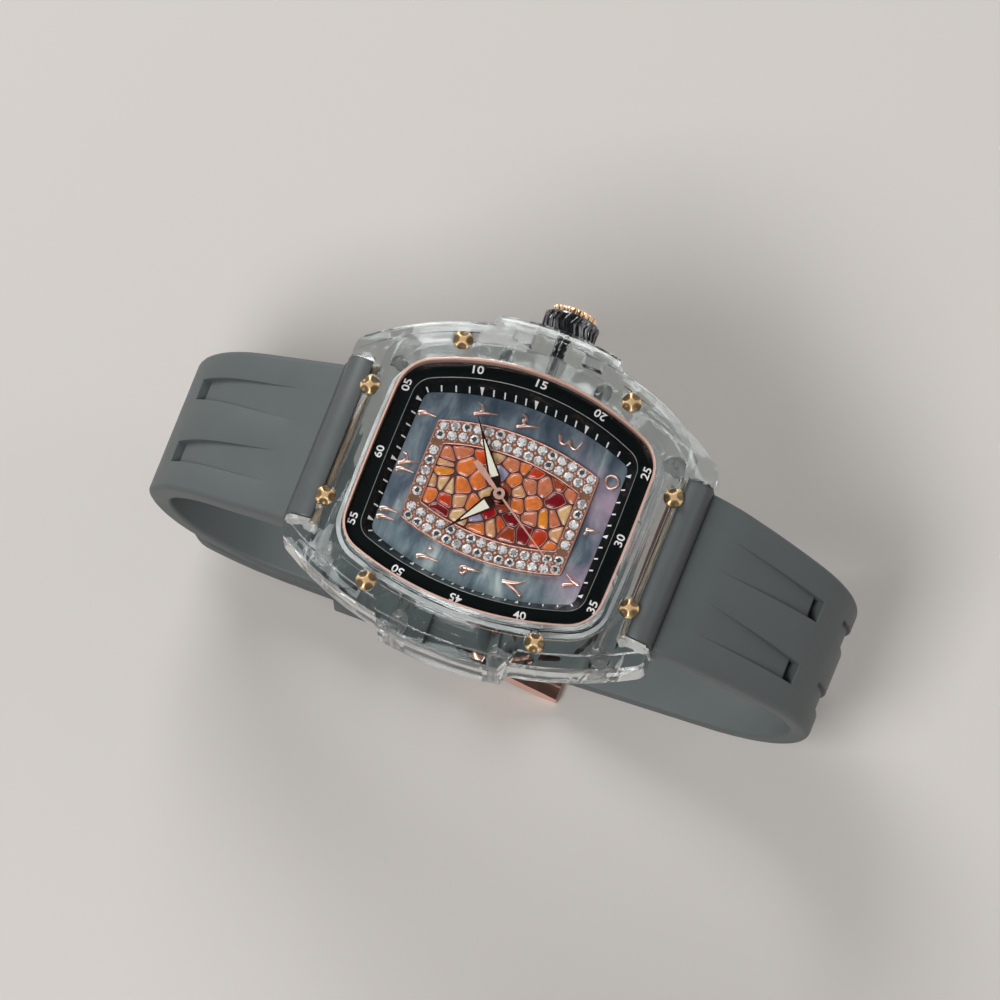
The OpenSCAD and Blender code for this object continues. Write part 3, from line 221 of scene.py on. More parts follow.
silicone = finish("grey_silicone", (81, 87, 87), rough=0.55, tone=0.03, grain=300, bump=0.35,
                  bump_grain=9000)
rose_gold = finish("rose_gold", (238, 184, 164), rough=0.2, metal=1.0, tone=0.04)
satin_rose = finish("satin_rose_gold", (228, 172, 158), rough=0.36, metal=0.85, tone=0.03)
lip_rose = finish("lip_rose", (240, 196, 180), rough=0.3, metal=0.45, tone=0.03)
needle_gold = finish("needle_gold", (240, 192, 174), rough=0.3, metal=0.45, tone=0.04)
bar_gold = finish("bar_gold", (250, 224, 194), rough=0.5, metal=0.2, tone=0.03)
setting_gold = finish("setting_gold", (178, 132, 108), rough=0.35, metal=0.8, tone=0.06)
dark_gold = finish("dark_rose_gold", (112, 76, 70), rough=0.25, metal=1.0, tone=0.06)
yellow_gold = finish("yellow_gold", (242, 208, 158), rough=0.24, metal=0.55, tone=0.05)
cap_gold = finish("cap_gold", (252, 212, 172), rough=0.22, metal=1.0, tone=0.04)
gunmetal = finish("gunmetal", (74, 72, 74), rough=0.2, metal=1.0, tone=0.05)
ring_black = finish("gloss_black", (13, 18, 18), rough=0.14, tone=0.1, Specular_IOR_Level=0.15)
# A light grey that paints the highlight on the polished edge of the black ring's step.
ring_edge_highlight = finish("painted_edge_highlight", (150, 154, 153), rough=0.35, metal=0.5, tone=0.05)
print_white = finish("printed_white", (240, 242, 242), rough=0.5, tone=0.02)
crown_black = finish("crown_black", (110, 110, 112), rough=0.16, metal=1.0, tone=0.08)
tube_black = finish("tube_black", (16, 17, 18), rough=0.2, metal=0.2, tone=0.05)
frosted = finish("frosted_face", (250, 252, 252), rough=0.6, tone=0.02, Transmission_Weight=0.8, IOR=1.3)
lume_white = finish("lume_paste", (232, 230, 210), rough=0.7, tone=0.05, bump=0.4, bump_grain=12000)
train_brass = finish("gilt_brass", (205, 166, 96), rough=0.28, metal=1.0, tone=0.06, bump=0.2)
steel = finish("brushed_steel", (206, 207, 209), rough=0.28, metal=1.0, tone=0.05)
magnet = finish("magnet_grey", (82, 82, 84), rough=0.4, metal=0.8)
copper = finish("copper_wire", (196, 112, 66), rough=0.35, metal=1.0, bump=0.6, bump_grain=4000)
board_green = finish("board_green", (24, 84, 50), rough=0.45, bump=0.3)
holder_white = finish("holder_white", (226, 227, 224), rough=0.5, tone=0.03)
gasket_black = finish("gasket_black", (30, 31, 32), rough=0.6)
gasket_white = finish("gasket_white", (222, 224, 224), rough=0.6)
mosaic_ground = finish("mosaic_ground", (84, 44, 36), rough=0.45, tone=0.2)
print(len(bpy.data.materials), "finishes so far")

# %% [markdown]
# ## Clear plastic and glass
# The case is polished clear plastic, so light passes through it and bends at its edges, which draws the
# bright and dark rim lines. Full transmission with a low index of refraction keeps the inside readable, and
# a thin coat adds a little shine. The glass over the dial is a thin arched pane that hardly shows, so it is
# nearly transparent instead.

# %% The clear finishes
clear_plastic = finish("clear_plastic", (241, 244, 244), rough=0.02, tone=0.005,
                       Transmission_Weight=1.0, IOR=1.27, Coat_Weight=0.22)
pane = finish("glass_pane", (20, 24, 26), rough=0.03, tone=0.0, Alpha=0.06, IOR=1.5)

# %% [markdown]
# ## The camera, the floor and the light
# The photograph was taken with a long lens from nearly above, tilted 13 degrees towards 9 o'clock and
# 7 degrees towards 6 o'clock, and rolled so that 12 o'clock points to the left. The camera's axes are
# built from these angles. The main lamp stands towards 1 and 2 o'clock, a second one above 9 o'clock, and
# a weak one towards 6 o'clock lifts the shadows. The sky is brightest a little above the horizon and dark
# overhead, which gives upright metal its bright bands.

# %% Camera
tilt_9, tilt_6, roll = math.radians(13.0), math.radians(7.0), math.radians(-68.0)
back = np.array([-math.sin(tilt_9), -math.sin(tilt_6), 0.0])
back[2] = math.sqrt(1 - back @ back)
axis_3 = np.array([1.0, 0, 0]) - back * back[0]
axis_3 /= np.linalg.norm(axis_3)
axis_12 = np.cross(back, axis_3)
right = math.cos(roll) * axis_3 + math.sin(roll) * axis_12
up = -math.sin(roll) * axis_3 + math.cos(roll) * axis_12
camera = bpy.data.objects.new("camera", bpy.data.cameras.new("camera"))
bpy.context.scene.collection.objects.link(camera)
bpy.context.scene.camera = camera
distance = 5.5
pixels_per_mm = 7.8
camera.data.sensor_width = 36
camera.data.lens = 36 * distance / (1000 / pixels_per_mm * MM)
aim = np.array([centre_x, centre_y, dial_z]) + (right * 0.3 - up * 1.5) / pixels_per_mm * MM
turn = np.stack([right, up, back], axis=1)
matrix = np.eye(4)
matrix[:3, :3] = turn
matrix[:3, 3] = aim + back * distance
camera.matrix_world = Matrix(matrix.tolist())
camera.data.clip_start, camera.data.clip_end = 0.05, 20
print("lens", round(camera.data.lens, 1), "mm")

# %% Floor
floor_finish = finish("floor_paint", (198, 193, 188), rough=0.6, tone=0.015, grain=3)
floor_half = 3000
floor_points = [[x, y, -0.02] for x in (-floor_half, floor_half) for y in (-floor_half, floor_half)]
floor = mesh_piece("floor", floor_points, [[0, 2, 3, 1]], floor_finish, smooth=0)
floor.parent = None

# %% Light
def lamp(name, where, size, power, target=(0, 0, 45)):
    """A square area lamp at a point (mm from the watch axis), turned to face the middle of the case."""
    light = bpy.data.lights.new(name, "AREA")
    light.size = size
    light.energy = power
    thing = bpy.data.objects.new(name, light)
    bpy.context.scene.collection.objects.link(thing)
    spot, goal = place(where), place(target)
    to_lamp = (spot - goal) / np.linalg.norm(spot - goal)
    side = np.cross([0.0, 0.3, 1.0], to_lamp)
    side /= np.linalg.norm(side)
    stand = np.eye(4)
    stand[:3, :3] = np.stack([side, np.cross(to_lamp, side), to_lamp], axis=1)
    stand[:3, 3] = spot
    thing.matrix_world = Matrix(stand.tolist())


lamp("key", (620, 470, 560), 0.5, 5.8)
lamp("top", (-420, 140, 800), 0.35, 5.2)
lamp("fill", (260, -600, 420), 0.4, 0.5)
world = bpy.data.worlds.new("studio")
bpy.context.scene.world = world
world.use_nodes = True
sky = world.node_tree
split = node(sky, "SeparateXYZ", {0: node(sky, "TexCoord").outputs["Generated"]})
levels = [(0.0, 0.75), (0.22, 0.9), (0.55, 0.32), (0.9, 0.07)]
shades = ramp(sky, split.outputs["Z"], [(p, (level, level, level * 1.01, 1)) for p, level in levels])
sky.links.new(shades, sky.nodes["Background"].inputs["Color"])
sky.nodes["Background"].inputs["Strength"].default_value = 0.72
bpy.context.scene.view_settings.view_transform = "Standard"
print(len(bpy.data.lights), "lamps and a sky")

# %% [markdown]
# ## Finishes for the solids that keep their CAD shape
# Flat, turned and hidden pieces look right as they are. They only need their finish.

# %% Give each solid its finish
kept = {
    "case_band": clear_plastic, "bezel": clear_plastic, "case_back": clear_plastic,
    "back_gasket": gasket_black, "bezel_gasket": gasket_white, "crystal": pane,
    "crystal_ring": lip_rose, "chapter_ring": ring_black, "gem_frame": setting_gold,
    "mosaic_plate": mosaic_ground, "hour_hand": dark_gold, "minute_hand": dark_gold,
    "hour_lume": lume_white, "minute_lume": lume_white, "second_hand": needle_gold,
    "hour_wheel": train_brass, "centre_wheel": train_brass, "seconds_wheel": train_brass,
    "third_wheel": train_brass, "fifth_wheel": train_brass, "rotor": magnet,
    "minute_wheel": train_brass, "main_plate": train_brass, "train_bridge": steel,
    "movement_holder": holder_white, "battery": steel, "battery_clamp": train_brass,
    "coil": copper, "stator": steel, "circuit_board": board_green, "quartz_can": steel,
    "sliding_pinion": steel, "stem": steel, "crown": crown_black, "crown_cap": cap_gold,
    "crown_gaskets": gasket_black, "crown_tube": tube_black,
    "clamp_bars": bar_gold, "buckle_bar": steel, "buckle_frame": rose_gold,
    "buckle_tongue": rose_gold,
}
for name, material in kept.items():
    nodes[name].data.materials.clear()
    nodes[name].data.materials.append(material)
print(len(kept), "solids keep their shape")

# %% [markdown]
# ## The dial
# Dark mother-of-pearl: slate blue clouds, drawn out along X, that grow lighter towards 9 o'clock, with a
# pink shimmer towards 6 and a touch of teal towards 9. One noise gives the clouds; slow gradients along X
# and Y shift and tint them. A clear coat gives the polish.

# %% Mother-of-pearl
def pearl():
    """Clouded slate, teal and pink, mixed by warped noise and by the place on the dial."""
    material = bpy.data.materials.new("dark_pearl")
    material.use_nodes = True
    tree = material.node_tree
    shader = tree.nodes["Principled BSDF"]
    for key, value in (("Roughness", 0.22), ("Coat Weight", 0.6), ("Coat Roughness", 0.05)):
        shader.inputs[key].default_value = value
    where = node(tree, "TexCoord").outputs["Object"]
    apart = node(tree, "SeparateXYZ", {0: where})

    def along(axis, start, stop, most=1.0):
        """A share that grows from 0 to most between two places (metres) along an axis."""
        return node(tree, "MapRange", {"Value": apart.outputs[axis], "From Min": start, "From Max": stop,
                                       "To Max": most}).outputs["Result"]

    def both(a, b, operation="MULTIPLY"):
        """The product or sum of two values."""
        return node(tree, "Math", {0: a, 1: b}, operation=operation).outputs[0]

    def mixed(share, plain, colour):
        """The plain colour, with a share of another one mixed in."""
        return node(tree, "Mix", {"Factor": share, "A": plain, "B": screen(*colour)},
                    data_type="RGBA").outputs["Result"]

    stretch = node(tree, "VectorMath", {0: where, 1: (0.4, 1.0, 1.0)}, operation="MULTIPLY")
    clouds = node(tree, "TexNoise", {"Vector": stretch.outputs[0], "Scale": 330, "Detail": 7,
                                     "Roughness": 0.58, "Distortion": 0.5}).outputs["Fac"]
    light = both(clouds, along("X", centre_x + 0.002, centre_x - 0.013, 0.17), "ADD")
    slate = ramp(tree, light, [(0.3, screen(60, 74, 88)), (0.5, screen(90, 103, 116)),
                               (0.64, screen(126, 139, 146)), (0.82, screen(194, 205, 207))])
    patches = node(tree, "TexNoise", {"Vector": where, "Scale": 190, "Detail": 3})
    patchy = node(tree, "MapRange", {"Value": patches.outputs["Fac"], "From Min": 0.4, "From Max": 0.64,
                                     "To Max": 0.8})
    pink_share = both(along("Y", centre_y - 0.006, centre_y - 0.017), patchy.outputs["Result"])
    teal_share = both(along("X", centre_x - 0.006, centre_x - 0.014, 0.35), clouds)
    colour = mixed(teal_share, mixed(pink_share, slate, (206, 172, 194)), (120, 168, 166))
    tree.links.new(colour, shader.inputs["Base Color"])
    return material


nodes["dial"].data.materials.clear()
nodes["dial"].data.materials.append(pearl())
print("pearl on the dial")

# %% [markdown]
# ## Outlines shared by ring, frame and window
# The barrel shape comes back several times. It is a long side arc and an end arc, blended by a corner arc
# whose centre lies where circles drawn inside both arcs cross.

# %% The barrel outline
def arc(cx, cy, r, a0, a1, n):
    """n + 1 points of a circle arc, from angle a0 to a1 in radians."""
    a = np.linspace(a0, a1, n + 1)
    return np.stack([cx + r * np.cos(a), cy + r * np.sin(a)], axis=1)


def barrel(hw, hl, side, end, corner, n=14):
    """Closed outline of half width hw and half length hl, from its side, end and corner radii."""
    c1, c2 = np.array([hw - side, 0.0]), np.array([0.0, hl - end])
    r1, r2 = side - corner, end - corner
    span = np.linalg.norm(c2 - c1)
    e = (c2 - c1) / span
    a = (r1 * r1 - r2 * r2 + span * span) / (2 * span)
    h = math.sqrt(r1 * r1 - a * a)
    choices = [c1 + a * e + s * h * np.array([-e[1], e[0]]) for s in (1, -1)]
    p = max(choices, key=lambda q: min(q[0], q[1]))
    t1, t2 = math.atan2(p[1], p[0] - c1[0]), math.atan2(p[1] - c2[1], p[0])
    quarter = np.concatenate([arc(*c1, side, 0, t1, n), arc(*p, corner, t1, t2, n)[1:],
                              arc(*c2, end, t2, math.pi / 2, n)[1:]])
    half = np.concatenate([quarter, (quarter * [-1, 1])[-2::-1]])
    return np.concatenate([half, (half * [1, -1])[-2:0:-1]])


def ring_outline(d):
    """The outline under the glass, moved outwards by d millimetres."""
    return barrel(hw=16.0 + d, hl=17.6 + d, side=39 + d, end=300, corner=4.8 + d)


def front_drop(y):
    """How far the arch of the front has dropped at distance y from its crest: r - sqrt(r^2 - y^2)."""
    return front_r - np.sqrt(front_r * front_r - y * y)


def ring_top(y):
    """Height of the ring's arched flat part, whose crest lies 3.6 mm above the dial."""
    return DIAL + 3.6 - front_drop(y)


print("ring reaches", ring_outline(0).max(axis=0).round(2), "mm")

# %% [markdown]
# ## The minute numbers and ticks
# White print on the black ring: the numbers lie on its arched flat part, the sixty ticks on the slope
# down to the dial, with a small triangle at every fifth. Numbers near 12 and 6 stand upright, those at
# the sides follow the ring. Blender's own font is turned into a mesh and laid on the arch.

# %% Numbers
def text_grid(word, width, height=1.06):
    """Points (mm, centred) and faces of a word in Blender's built-in font, fitted to width and height."""
    curve = bpy.data.curves.new("word", "FONT")
    curve.body = word
    curve.size = 2.0
    curve.align_x, curve.align_y = "CENTER", "CENTER"
    curve.resolution_u = 4
    curve.offset = 0.03
    thing = bpy.data.objects.new("word", curve)
    bpy.context.scene.collection.objects.link(thing)
    mesh = thing.to_mesh()
    points = np.empty(len(mesh.vertices) * 3)
    mesh.vertices.foreach_get("co", points)
    faces = [list(p.vertices) for p in mesh.polygons]
    thing.to_mesh_clear()
    bpy.data.objects.remove(thing)
    points = points.reshape(-1, 3)
    low, high = points.min(axis=0), points.max(axis=0)
    return (points - (low + high) / 2) * [width / (high[0] - low[0]), height / (high[1] - low[1]), 1], faces


number_places = [
    ("60", 0, 16.57, 0), ("05", 9.46, 16.5, 0), ("10", 14.2, 8.4, -77), ("15", 15.15, 0, -90),
    ("20", 14.2, -8.4, 77), ("25", 9.46, -16.5, 0), ("30", 0, -16.57, 0), ("35", -9.46, -16.5, 0),
    ("40", -14.2, -8.4, -77), ("45", -15.15, 0, 90), ("50", -14.2, 8.4, 77), ("55", -9.46, 16.5, 0),
]
words = []
for word, x, y, angle in number_places:
    points, faces = text_grid(word, 1.45 if word[0] == "1" else 1.62)
    a = math.radians(angle)
    flat = points[:, :2] @ np.array([[math.cos(a), math.sin(a)], [-math.sin(a), math.cos(a)]])
    flat = flat + [x, y]
    height = ring_top(flat[:, 1]) + 0.012
    words.append((np.column_stack([flat, height]), faces))
points, faces = join_grids(words)
mesh_piece("minute_numbers", points, faces, print_white, smooth=0)
print("numbers have", len(faces), "faces")

# %% Ticks
step_outline, lower = ring_outline(-2.05), ring_outline(-3.45)
step_height = ring_top(step_outline[:, 1])
upper = np.column_stack([step_outline, step_height])
lower = np.column_stack([lower, np.full(len(lower), DIAL + 0.03)])
lean = np.arctan2(upper[:, 0] + lower[:, 0], upper[:, 1] + lower[:, 1])
order = np.argsort(lean)


def slope_point(clock, share):
    """The point on the ring's slope in direction clock: share 0 at its upper edge, 1 at the dial."""
    wanted = (clock + math.pi) % (2 * math.pi) - math.pi
    ends = [np.stack([np.interp(wanted, lean[order], edge[order, k], period=2 * math.pi)
                      for k in range(3)], -1) for edge in (upper, lower)]
    return ends[0] + (ends[1] - ends[0]) * share[:, None]


minutes = np.arange(60)
clock = minutes * math.pi / 30
long_ticks = minutes % 5 == 0
high = slope_point(clock, np.where(long_ticks, 0.46, 0.52))
low = slope_point(clock, np.where(long_ticks, 0.95, 0.92))
run = slope_point(clock + 0.02, np.full(60, 0.6)) - slope_point(clock - 0.02, np.full(60, 0.6))
run /= np.linalg.norm(run, axis=1)[:, None]
fall = (low - high) / np.linalg.norm(low - high, axis=1)[:, None]
lift = np.cross(fall, run)
lift *= 0.04 * np.sign(lift[:, 2:])
half_high = np.where(long_ticks, 0.27, 0.1)[:, None] * run
half_low = np.where(long_ticks, 0.05, 0.09)[:, None] * run
ticks = np.stack([high - half_high, low - half_low, low + half_low, high + half_high], axis=1)
tick_faces = np.arange(240).reshape(60, 4).tolist()
mesh_piece("minute_ticks", ticks + lift[:, None], tick_faces, print_white, smooth=0)
print(len(ticks), "ticks,", int(long_ticks.sum()), "of them pointed")

# %% [markdown]
# ## The applied hour numerals
# Polished rose-gold strokes, rounded on top and drawn in at their ends. Each stroke is a path through a
# few points, smoothed, with a half-round profile carried along it. The digits are those used with Arabic
# script, from one at the top right to twelve at the top. The five and the head of the nine are loops.

# %% Strokes of the digits
def smooth_path(points, n=9):
    """Catmull-Rom curve through the points: each stretch bends towards its neighbours."""
    p = np.asarray(points, float)
    p = np.concatenate([[2 * p[0] - p[1]], p, [2 * p[-1] - p[-2]]])
    t = np.linspace(0, 1, n, endpoint=False)[:, None]
    parts = [0.5 * (2 * b + (c - a) * t + (2 * a - 5 * b + 4 * c - d) * t**2
                    + (3 * b - a - 3 * c + d) * t**3)
             for a, b, c, d in zip(p[:-3], p[1:-2], p[2:-1], p[3:])]
    return np.concatenate(parts + [p[-2:-1]])


def stroke(points, width, height=0.32, closed=False):
    """A bar with a rounded crest along a path: blunt at its start, drawn out to a point at its end."""
    path = np.asarray(points, float) if closed else smooth_path(points)
    n = len(path)
    ahead = np.roll(path, -1, axis=0) - np.roll(path, 1, axis=0) if closed else np.gradient(path, axis=0)
    ahead /= np.linalg.norm(ahead, axis=1)[:, None]
    side = np.stack([-ahead[:, 1], ahead[:, 0]], axis=1)
    t = np.linspace(0, 1, n)
    taper = np.ones(n) if closed else (1.35 - 1.0 * t**1.3) * np.clip(t * 30 + 0.7, 0, 1)
    a = np.linspace(0, math.pi, 9)
    offset = np.cos(a)[None, :] * (width / 2 * taper)[:, None]
    rise = np.sin(a)[None, :] ** 0.6 * (height * np.clip(taper * 1.3, 0, 1))[:, None]
    across = path[:, None, :] + side[:, None, :] * offset[..., None]
    grid = np.concatenate([across, rise[..., None]], axis=2)
    return grid, grid_faces(n, 9, wrap_rows=closed, wrap_cols=True, caps=not closed)


stem = [(-0.9, 1.4), (-0.55, 0.65), (-0.15, -0.35), (0.15, -1.4)]
one = [[(-0.35, 1.35), (-0.02, 0.9), (0.14, 0.15), (0.12, -1.3)]]
two = [stem, [(-0.6, 0.75), (-0.05, 0.5), (0.6, 0.7), (0.85, 1.3)]]
three = [stem, [(-0.6, 0.75), (-0.2, 0.55), (0.12, 0.95)],
         [(0.12, 0.95), (0.5, 0.6), (0.95, 0.75), (1.1, 1.3)]]
four = [[(0.6, 1.5), (-0.4, 1.1), (-0.45, 0.45), (0.3, 0.1)],
        [(0.3, 0.1), (-0.55, -0.35), (-0.6, -1.05), (0.65, -1.4)]]
six = [[(-0.75, 0.85), (-0.2, 0.7), (0.15, 0.85)], [(0.12, 0.9), (0.25, 0.1), (0.45, -1.1)]]
seven = [[(-0.85, 1.15), (-0.35, 0.1), (0, -1.15)], [(0, -1.15), (0.3, 0.1), (0.85, 1.2)]]
eight = [[(-1.15, -1.4), (-0.5, -0.4), (0, 1.4)], [(0, 1.4), (0.45, -0.4), (1.15, -1.4)]]
nine = [[(0.38, 1.0), (0.42, 0), (0.55, -1.45)]]
nought = [[(0, 0.28), (0, -0.28)]]
numerals = [
    (7.1, 12.7, [(one, 0, 0.62)]), (10.1, 5.75, [(two, 0, 0.44)]), (10.45, 0, [(three, 0, 0.44)]),
    (10.1, -5.75, [(four, 0, 0.44)]), (0, -12.65, [(six, 0, 0.44)]), (-7.1, -12.7, [(seven, 0, 0.46)]),
    (-10.1, -5.75, [(eight, 0, 0.48)]), (-10.45, 0, [(nine, 0, 0.46)]),
    (-10.1, 5.75, [(one, -0.6, 0.6), (nought, 0.75, 0.5)]),
    (-7.1, 12.7, [(one, -0.5, 0.58), (one, 0.6, 0.58)]), (0, 12.7, [(one, -0.85, 0.56), (two, 0.55, 0.46)]),
]
bars = []
for x, y, glyphs in numerals:
    scale = np.array([0.9, 0.86 if abs(y) > 10 else 1.04])
    for glyph, shift, width in glyphs:
        bars += [stroke(np.array(line) * scale + [x + shift, y], width) for line in glyph]
for cx, cy, r in ((7.1, -12.7, 0.87), (-10.5, 0.95, 0.45)):
    loop = np.stack([cx + r * np.cos(circle), cy + r * np.sin(circle)], axis=1)
    bars.append(stroke(loop, 0.34, closed=True))
points, faces = join_grids(bars)
numeral_gold = finish("numeral_gold", (248, 206, 192), rough=0.32, metal=1.0, tone=0.04)
hour_numerals = mesh_piece("applied_numerals", points + [0, 0, DIAL], faces, numeral_gold)
fix_normals(hour_numerals)
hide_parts("hour_numerals")
print("numerals:", len(bars), "strokes")

# %% [markdown]
# ## The stones and their frame
# Two rows of white round stones along each side and one across each end, held by beads between two thin
# wires. Each stone has a flat table, eight star facets, eight kites and sixteen girdle facets. Each facet
# carries a painted reflection as an attribute, bright or dark at random, for the bright and dark patches a
# cut stone throws back.

# %% Where the stones sit
frame_hl, frame_hw, window_hl, window_hw = 11.15, 8.7, 9.3, 5.6


def bulge(hl, drop):
    """Radius of an arc that falls by drop over the half length hl."""
    return (hl * hl + drop * drop) / (2 * drop)


frame_r, window_r = bulge(frame_hl, 1.9), bulge(window_hl, 1.55)


def frame_x(y):
    """Half width of the frame at distance y from its middle."""
    return frame_hw - frame_r + np.sqrt(frame_r**2 - y * y)


def window_x(y):
    """Half width of the window in the frame at distance y from its middle."""
    return window_hw - window_r + np.sqrt(window_r**2 - y * y)


stone_pitch = 1.45
row_y = (np.arange(15) - 7) * stone_pitch
side = np.array([[s * (window_x(y * window_hl / frame_hl) * (1 - k) + frame_x(y) * k), y]
                 for y in row_y for k in (0.27, 0.73) for s in (-1, 1)])
end = np.array([[(i - 2) * stone_pitch, s * (window_hl + frame_hl) / 2] for i in range(5) for s in (-1, 1)])
stones_at = np.concatenate([side, end])
frame_top = DIAL + 0.55
stone_z = frame_top - 0.25
print(len(stones_at), "stones")

# %% Cut stones
def round_of(r, z, n=8, turn=0.0):
    """n points evenly round a circle of radius r at height z, turned by an angle."""
    a = np.arange(n) * 2 * math.pi / n + turn
    return np.stack([r * np.cos(a), r * np.sin(a), np.full(n, z)], axis=1)


step = math.pi / 8
one_stone = np.concatenate([round_of(0.33, 0.49), round_of(0.49, 0.39, turn=step), round_of(0.69, 0.2, 16),
                            round_of(0.69, 0.1, 16), round_of(0.45, 0.0)])
stone_faces = [list(range(8))]                      # table, stars, kites, upper halves, girdle, foot
stone_faces += [[i, 8 + i, (i + 1) % 8] for i in range(8)]
stone_faces += [[i, 8 + (i - 1) % 8, 16 + 2 * i, 8 + i] for i in range(8)]
stone_faces += [[8 + i, 16 + 2 * i, 16 + (2 * i + 1) % 16] for i in range(8)]
stone_faces += [[8 + i, 16 + (2 * i + 1) % 16, 16 + (2 * i + 2) % 16] for i in range(8)]
stone_faces += [[16 + i, 32 + i, 32 + (i + 1) % 16, 16 + (i + 1) % 16] for i in range(16)]
stone_faces += [[32 + 2 * i, 48 + i, 48 + (i + 1) % 8, 32 + (2 * i + 2) % 16, 33 + 2 * i] for i in range(8)]
stone_faces += [list(range(55, 47, -1))]
rng = np.random.default_rng(7)
spin = rng.uniform(0, math.pi / 4, len(stones_at))
cosine, sine = np.cos(spin)[:, None], np.sin(spin)[:, None]
sx = one_stone[None, :, 0] * cosine - one_stone[None, :, 1] * sine + stones_at[:, :1]
sy = one_stone[None, :, 0] * sine + one_stone[None, :, 1] * cosine + stones_at[:, 1:]
sz = np.broadcast_to(one_stone[None, :, 2] + stone_z, sx.shape)
gem_points = np.stack([sx, sy, sz], axis=-1)
gem_faces = copies(stone_faces, len(one_stone), len(stones_at))
# Painted reflections: the stones' white is multiplied by each facet's share of light, set below.
stone_finish = tinted(finish("white_stone", (255, 255, 255), rough=0.07, metal=0.3, tone=0.02), "facet")
gems = mesh_piece("cut_stones", gem_points, gem_faces, stone_finish, smooth=0)
fix_normals(gems)
# Painted reflections: each facet gets a random bright or dark share of light, and the kites at least 0.55.
painted_facet_reflection = rng.choice([0.1, 0.45, 1.0, 1.0], (len(stones_at), len(stone_faces)))
kites = slice(9, 17)
painted_facet_reflection[:, kites] = np.maximum(painted_facet_reflection[:, kites], 0.55)
counts = np.empty(len(gems.data.polygons), dtype=int)
gems.data.polygons.foreach_get("loop_total", counts)
paint(gems, "facet", np.repeat(np.tile(painted_facet_reflection.reshape(-1, 1), 3), counts, axis=0), "CORNER")
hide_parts("gems")
print(len(gem_faces), "facets")

# %% Beads between the stones, and wires along the borders
def beads(places, r, rise, cols=7):
    """Low domes of radius r and height rise at each place: three rings of points and a tip."""
    lift = np.array([0.0, 0.45, 0.8])
    a = np.arange(cols) * 2 * math.pi / cols
    rings = np.stack([np.stack([np.cos(a) * math.cos(up), np.sin(a) * math.cos(up),
                                np.full(cols, math.sin(up))], axis=1) for up in lift * math.pi / 2])
    dome = np.concatenate([rings.reshape(-1, 3), [[0, 0, 1.0]]]) * [r, r, rise]
    faces = grid_faces(3, cols, wrap_cols=True)
    faces += [[2 * cols + i, 2 * cols + (i + 1) % cols, 3 * cols] for i in range(cols)]
    faces += [list(range(cols - 1, -1, -1))]
    points = np.asarray(places)[:, None, :] + dome[None]
    return points, copies(faces, len(dome), len(places))


def wire(outline, r, z):
    """A thin round wire along a closed outline, its middle at height z (one value or one per point)."""
    ahead = np.roll(outline, -1, axis=0) - np.roll(outline, 1, axis=0)
    ahead /= np.linalg.norm(ahead, axis=1)[:, None]
    a = np.arange(8) * math.pi / 4
    x = outline[:, :1] + ahead[:, 1:] * r * np.cos(a)
    y = outline[:, 1:] - ahead[:, :1] * r * np.cos(a)
    height = np.broadcast_to(np.reshape(z, (-1, 1)) + r * np.sin(a), x.shape)
    return np.stack([x, y, height], axis=-1), grid_faces(len(outline), 8, wrap_rows=True, wrap_cols=True)


def frame_outline(d):
    """The frame's outer border, moved outwards by d millimetres."""
    return barrel(hw=frame_hw + d, hl=frame_hl + d, side=frame_r + d, end=300, corner=0.35)


def window_outline(d):
    """The window's border, moved outwards by d millimetres."""
    return barrel(hw=window_hw + d, hl=window_hl + d, side=window_r + d, end=300, corner=0.35)


diagonal = np.array([[0.5, 0.5], [0.5, -0.5], [-0.5, 0.5], [-0.5, -0.5]]) * stone_pitch * 0.92
prongs = (stones_at[:, None, :] + diagonal[None]).reshape(-1, 2)
prong_x, prong_y = np.abs(prongs).T
inside = (prong_x < frame_x(np.clip(prong_y, 0, 11)) - 0.28) & (prong_y < 10.9)
outside = (prong_x > window_x(np.clip(prong_y, 0, window_hl)) + 0.28) | (prong_y > window_hl + 0.25)
prongs = prongs[inside & outside]
prongs = np.column_stack([prongs, np.full(len(prongs), frame_top)])
wire_r = 0.08
points, faces = join_grids([beads(prongs, r=0.15, rise=0.16),
                            wire(frame_outline(-wire_r), wire_r, frame_top),
                            wire(window_outline(wire_r), wire_r, frame_top)])
bead_piece = mesh_piece("frame_beads", points, faces, satin_rose, smooth=80)
fix_normals(bead_piece)
print(len(prongs), "prongs and two wires")

# %% Painted highlight on the polished edge of the ring's step
edge_line = mesh_piece("ring_step_edge", *wire(step_outline, 0.045, step_height), ring_edge_highlight, smooth=80)
fix_normals(edge_line)
print("edge line of", len(step_outline), "points")

# %% [markdown]
# ## The mosaic
# Enamel pebbles between raised rose-gold lines, a plain scatter of cells in warm colours. Each cell is the
# set of places nearest to its own seed, so along each ray from the seed it reaches to the nearest of the
# lines midway to its neighbours. A soft minimum of those distances rounds the corners. Each new seed is the
# loneliest of forty tries, and every third one may be the first try instead, so the cells differ in size.

# %% Cells
rng = np.random.default_rng(11)
seeds = []
while len(seeds) < 50:
    candidates = np.column_stack([rng.uniform(-5.4, 5.4, 40), rng.uniform(-9.1, 9.1, 40)])
    candidates = candidates[np.abs(candidates[:, 0]) < window_x(candidates[:, 1]) - 0.25]
    if seeds:
        apart = (candidates[:, None] - np.array(seeds)[None]) / [1.0, 0.85]
        gaps = np.linalg.norm(apart, axis=2).min(axis=1)
    else:
        gaps = np.ones(len(candidates))
    seeds.append(candidates[np.argmax(gaps)])
    if len(seeds) % 3 == 0 and gaps[0] > 0.85:
        seeds[-1] = candidates[0]
seeds = np.array(seeds)
ray_count = 40
rays = np.linspace(0, 2 * math.pi, ray_count + 1)[:-1]
ray = np.stack([np.cos(rays), np.sin(rays)], axis=1)
gap_half = 0.15
between = seeds[None] - seeds[:, None]
length = np.linalg.norm(between, axis=2) + np.eye(len(seeds)) * 99
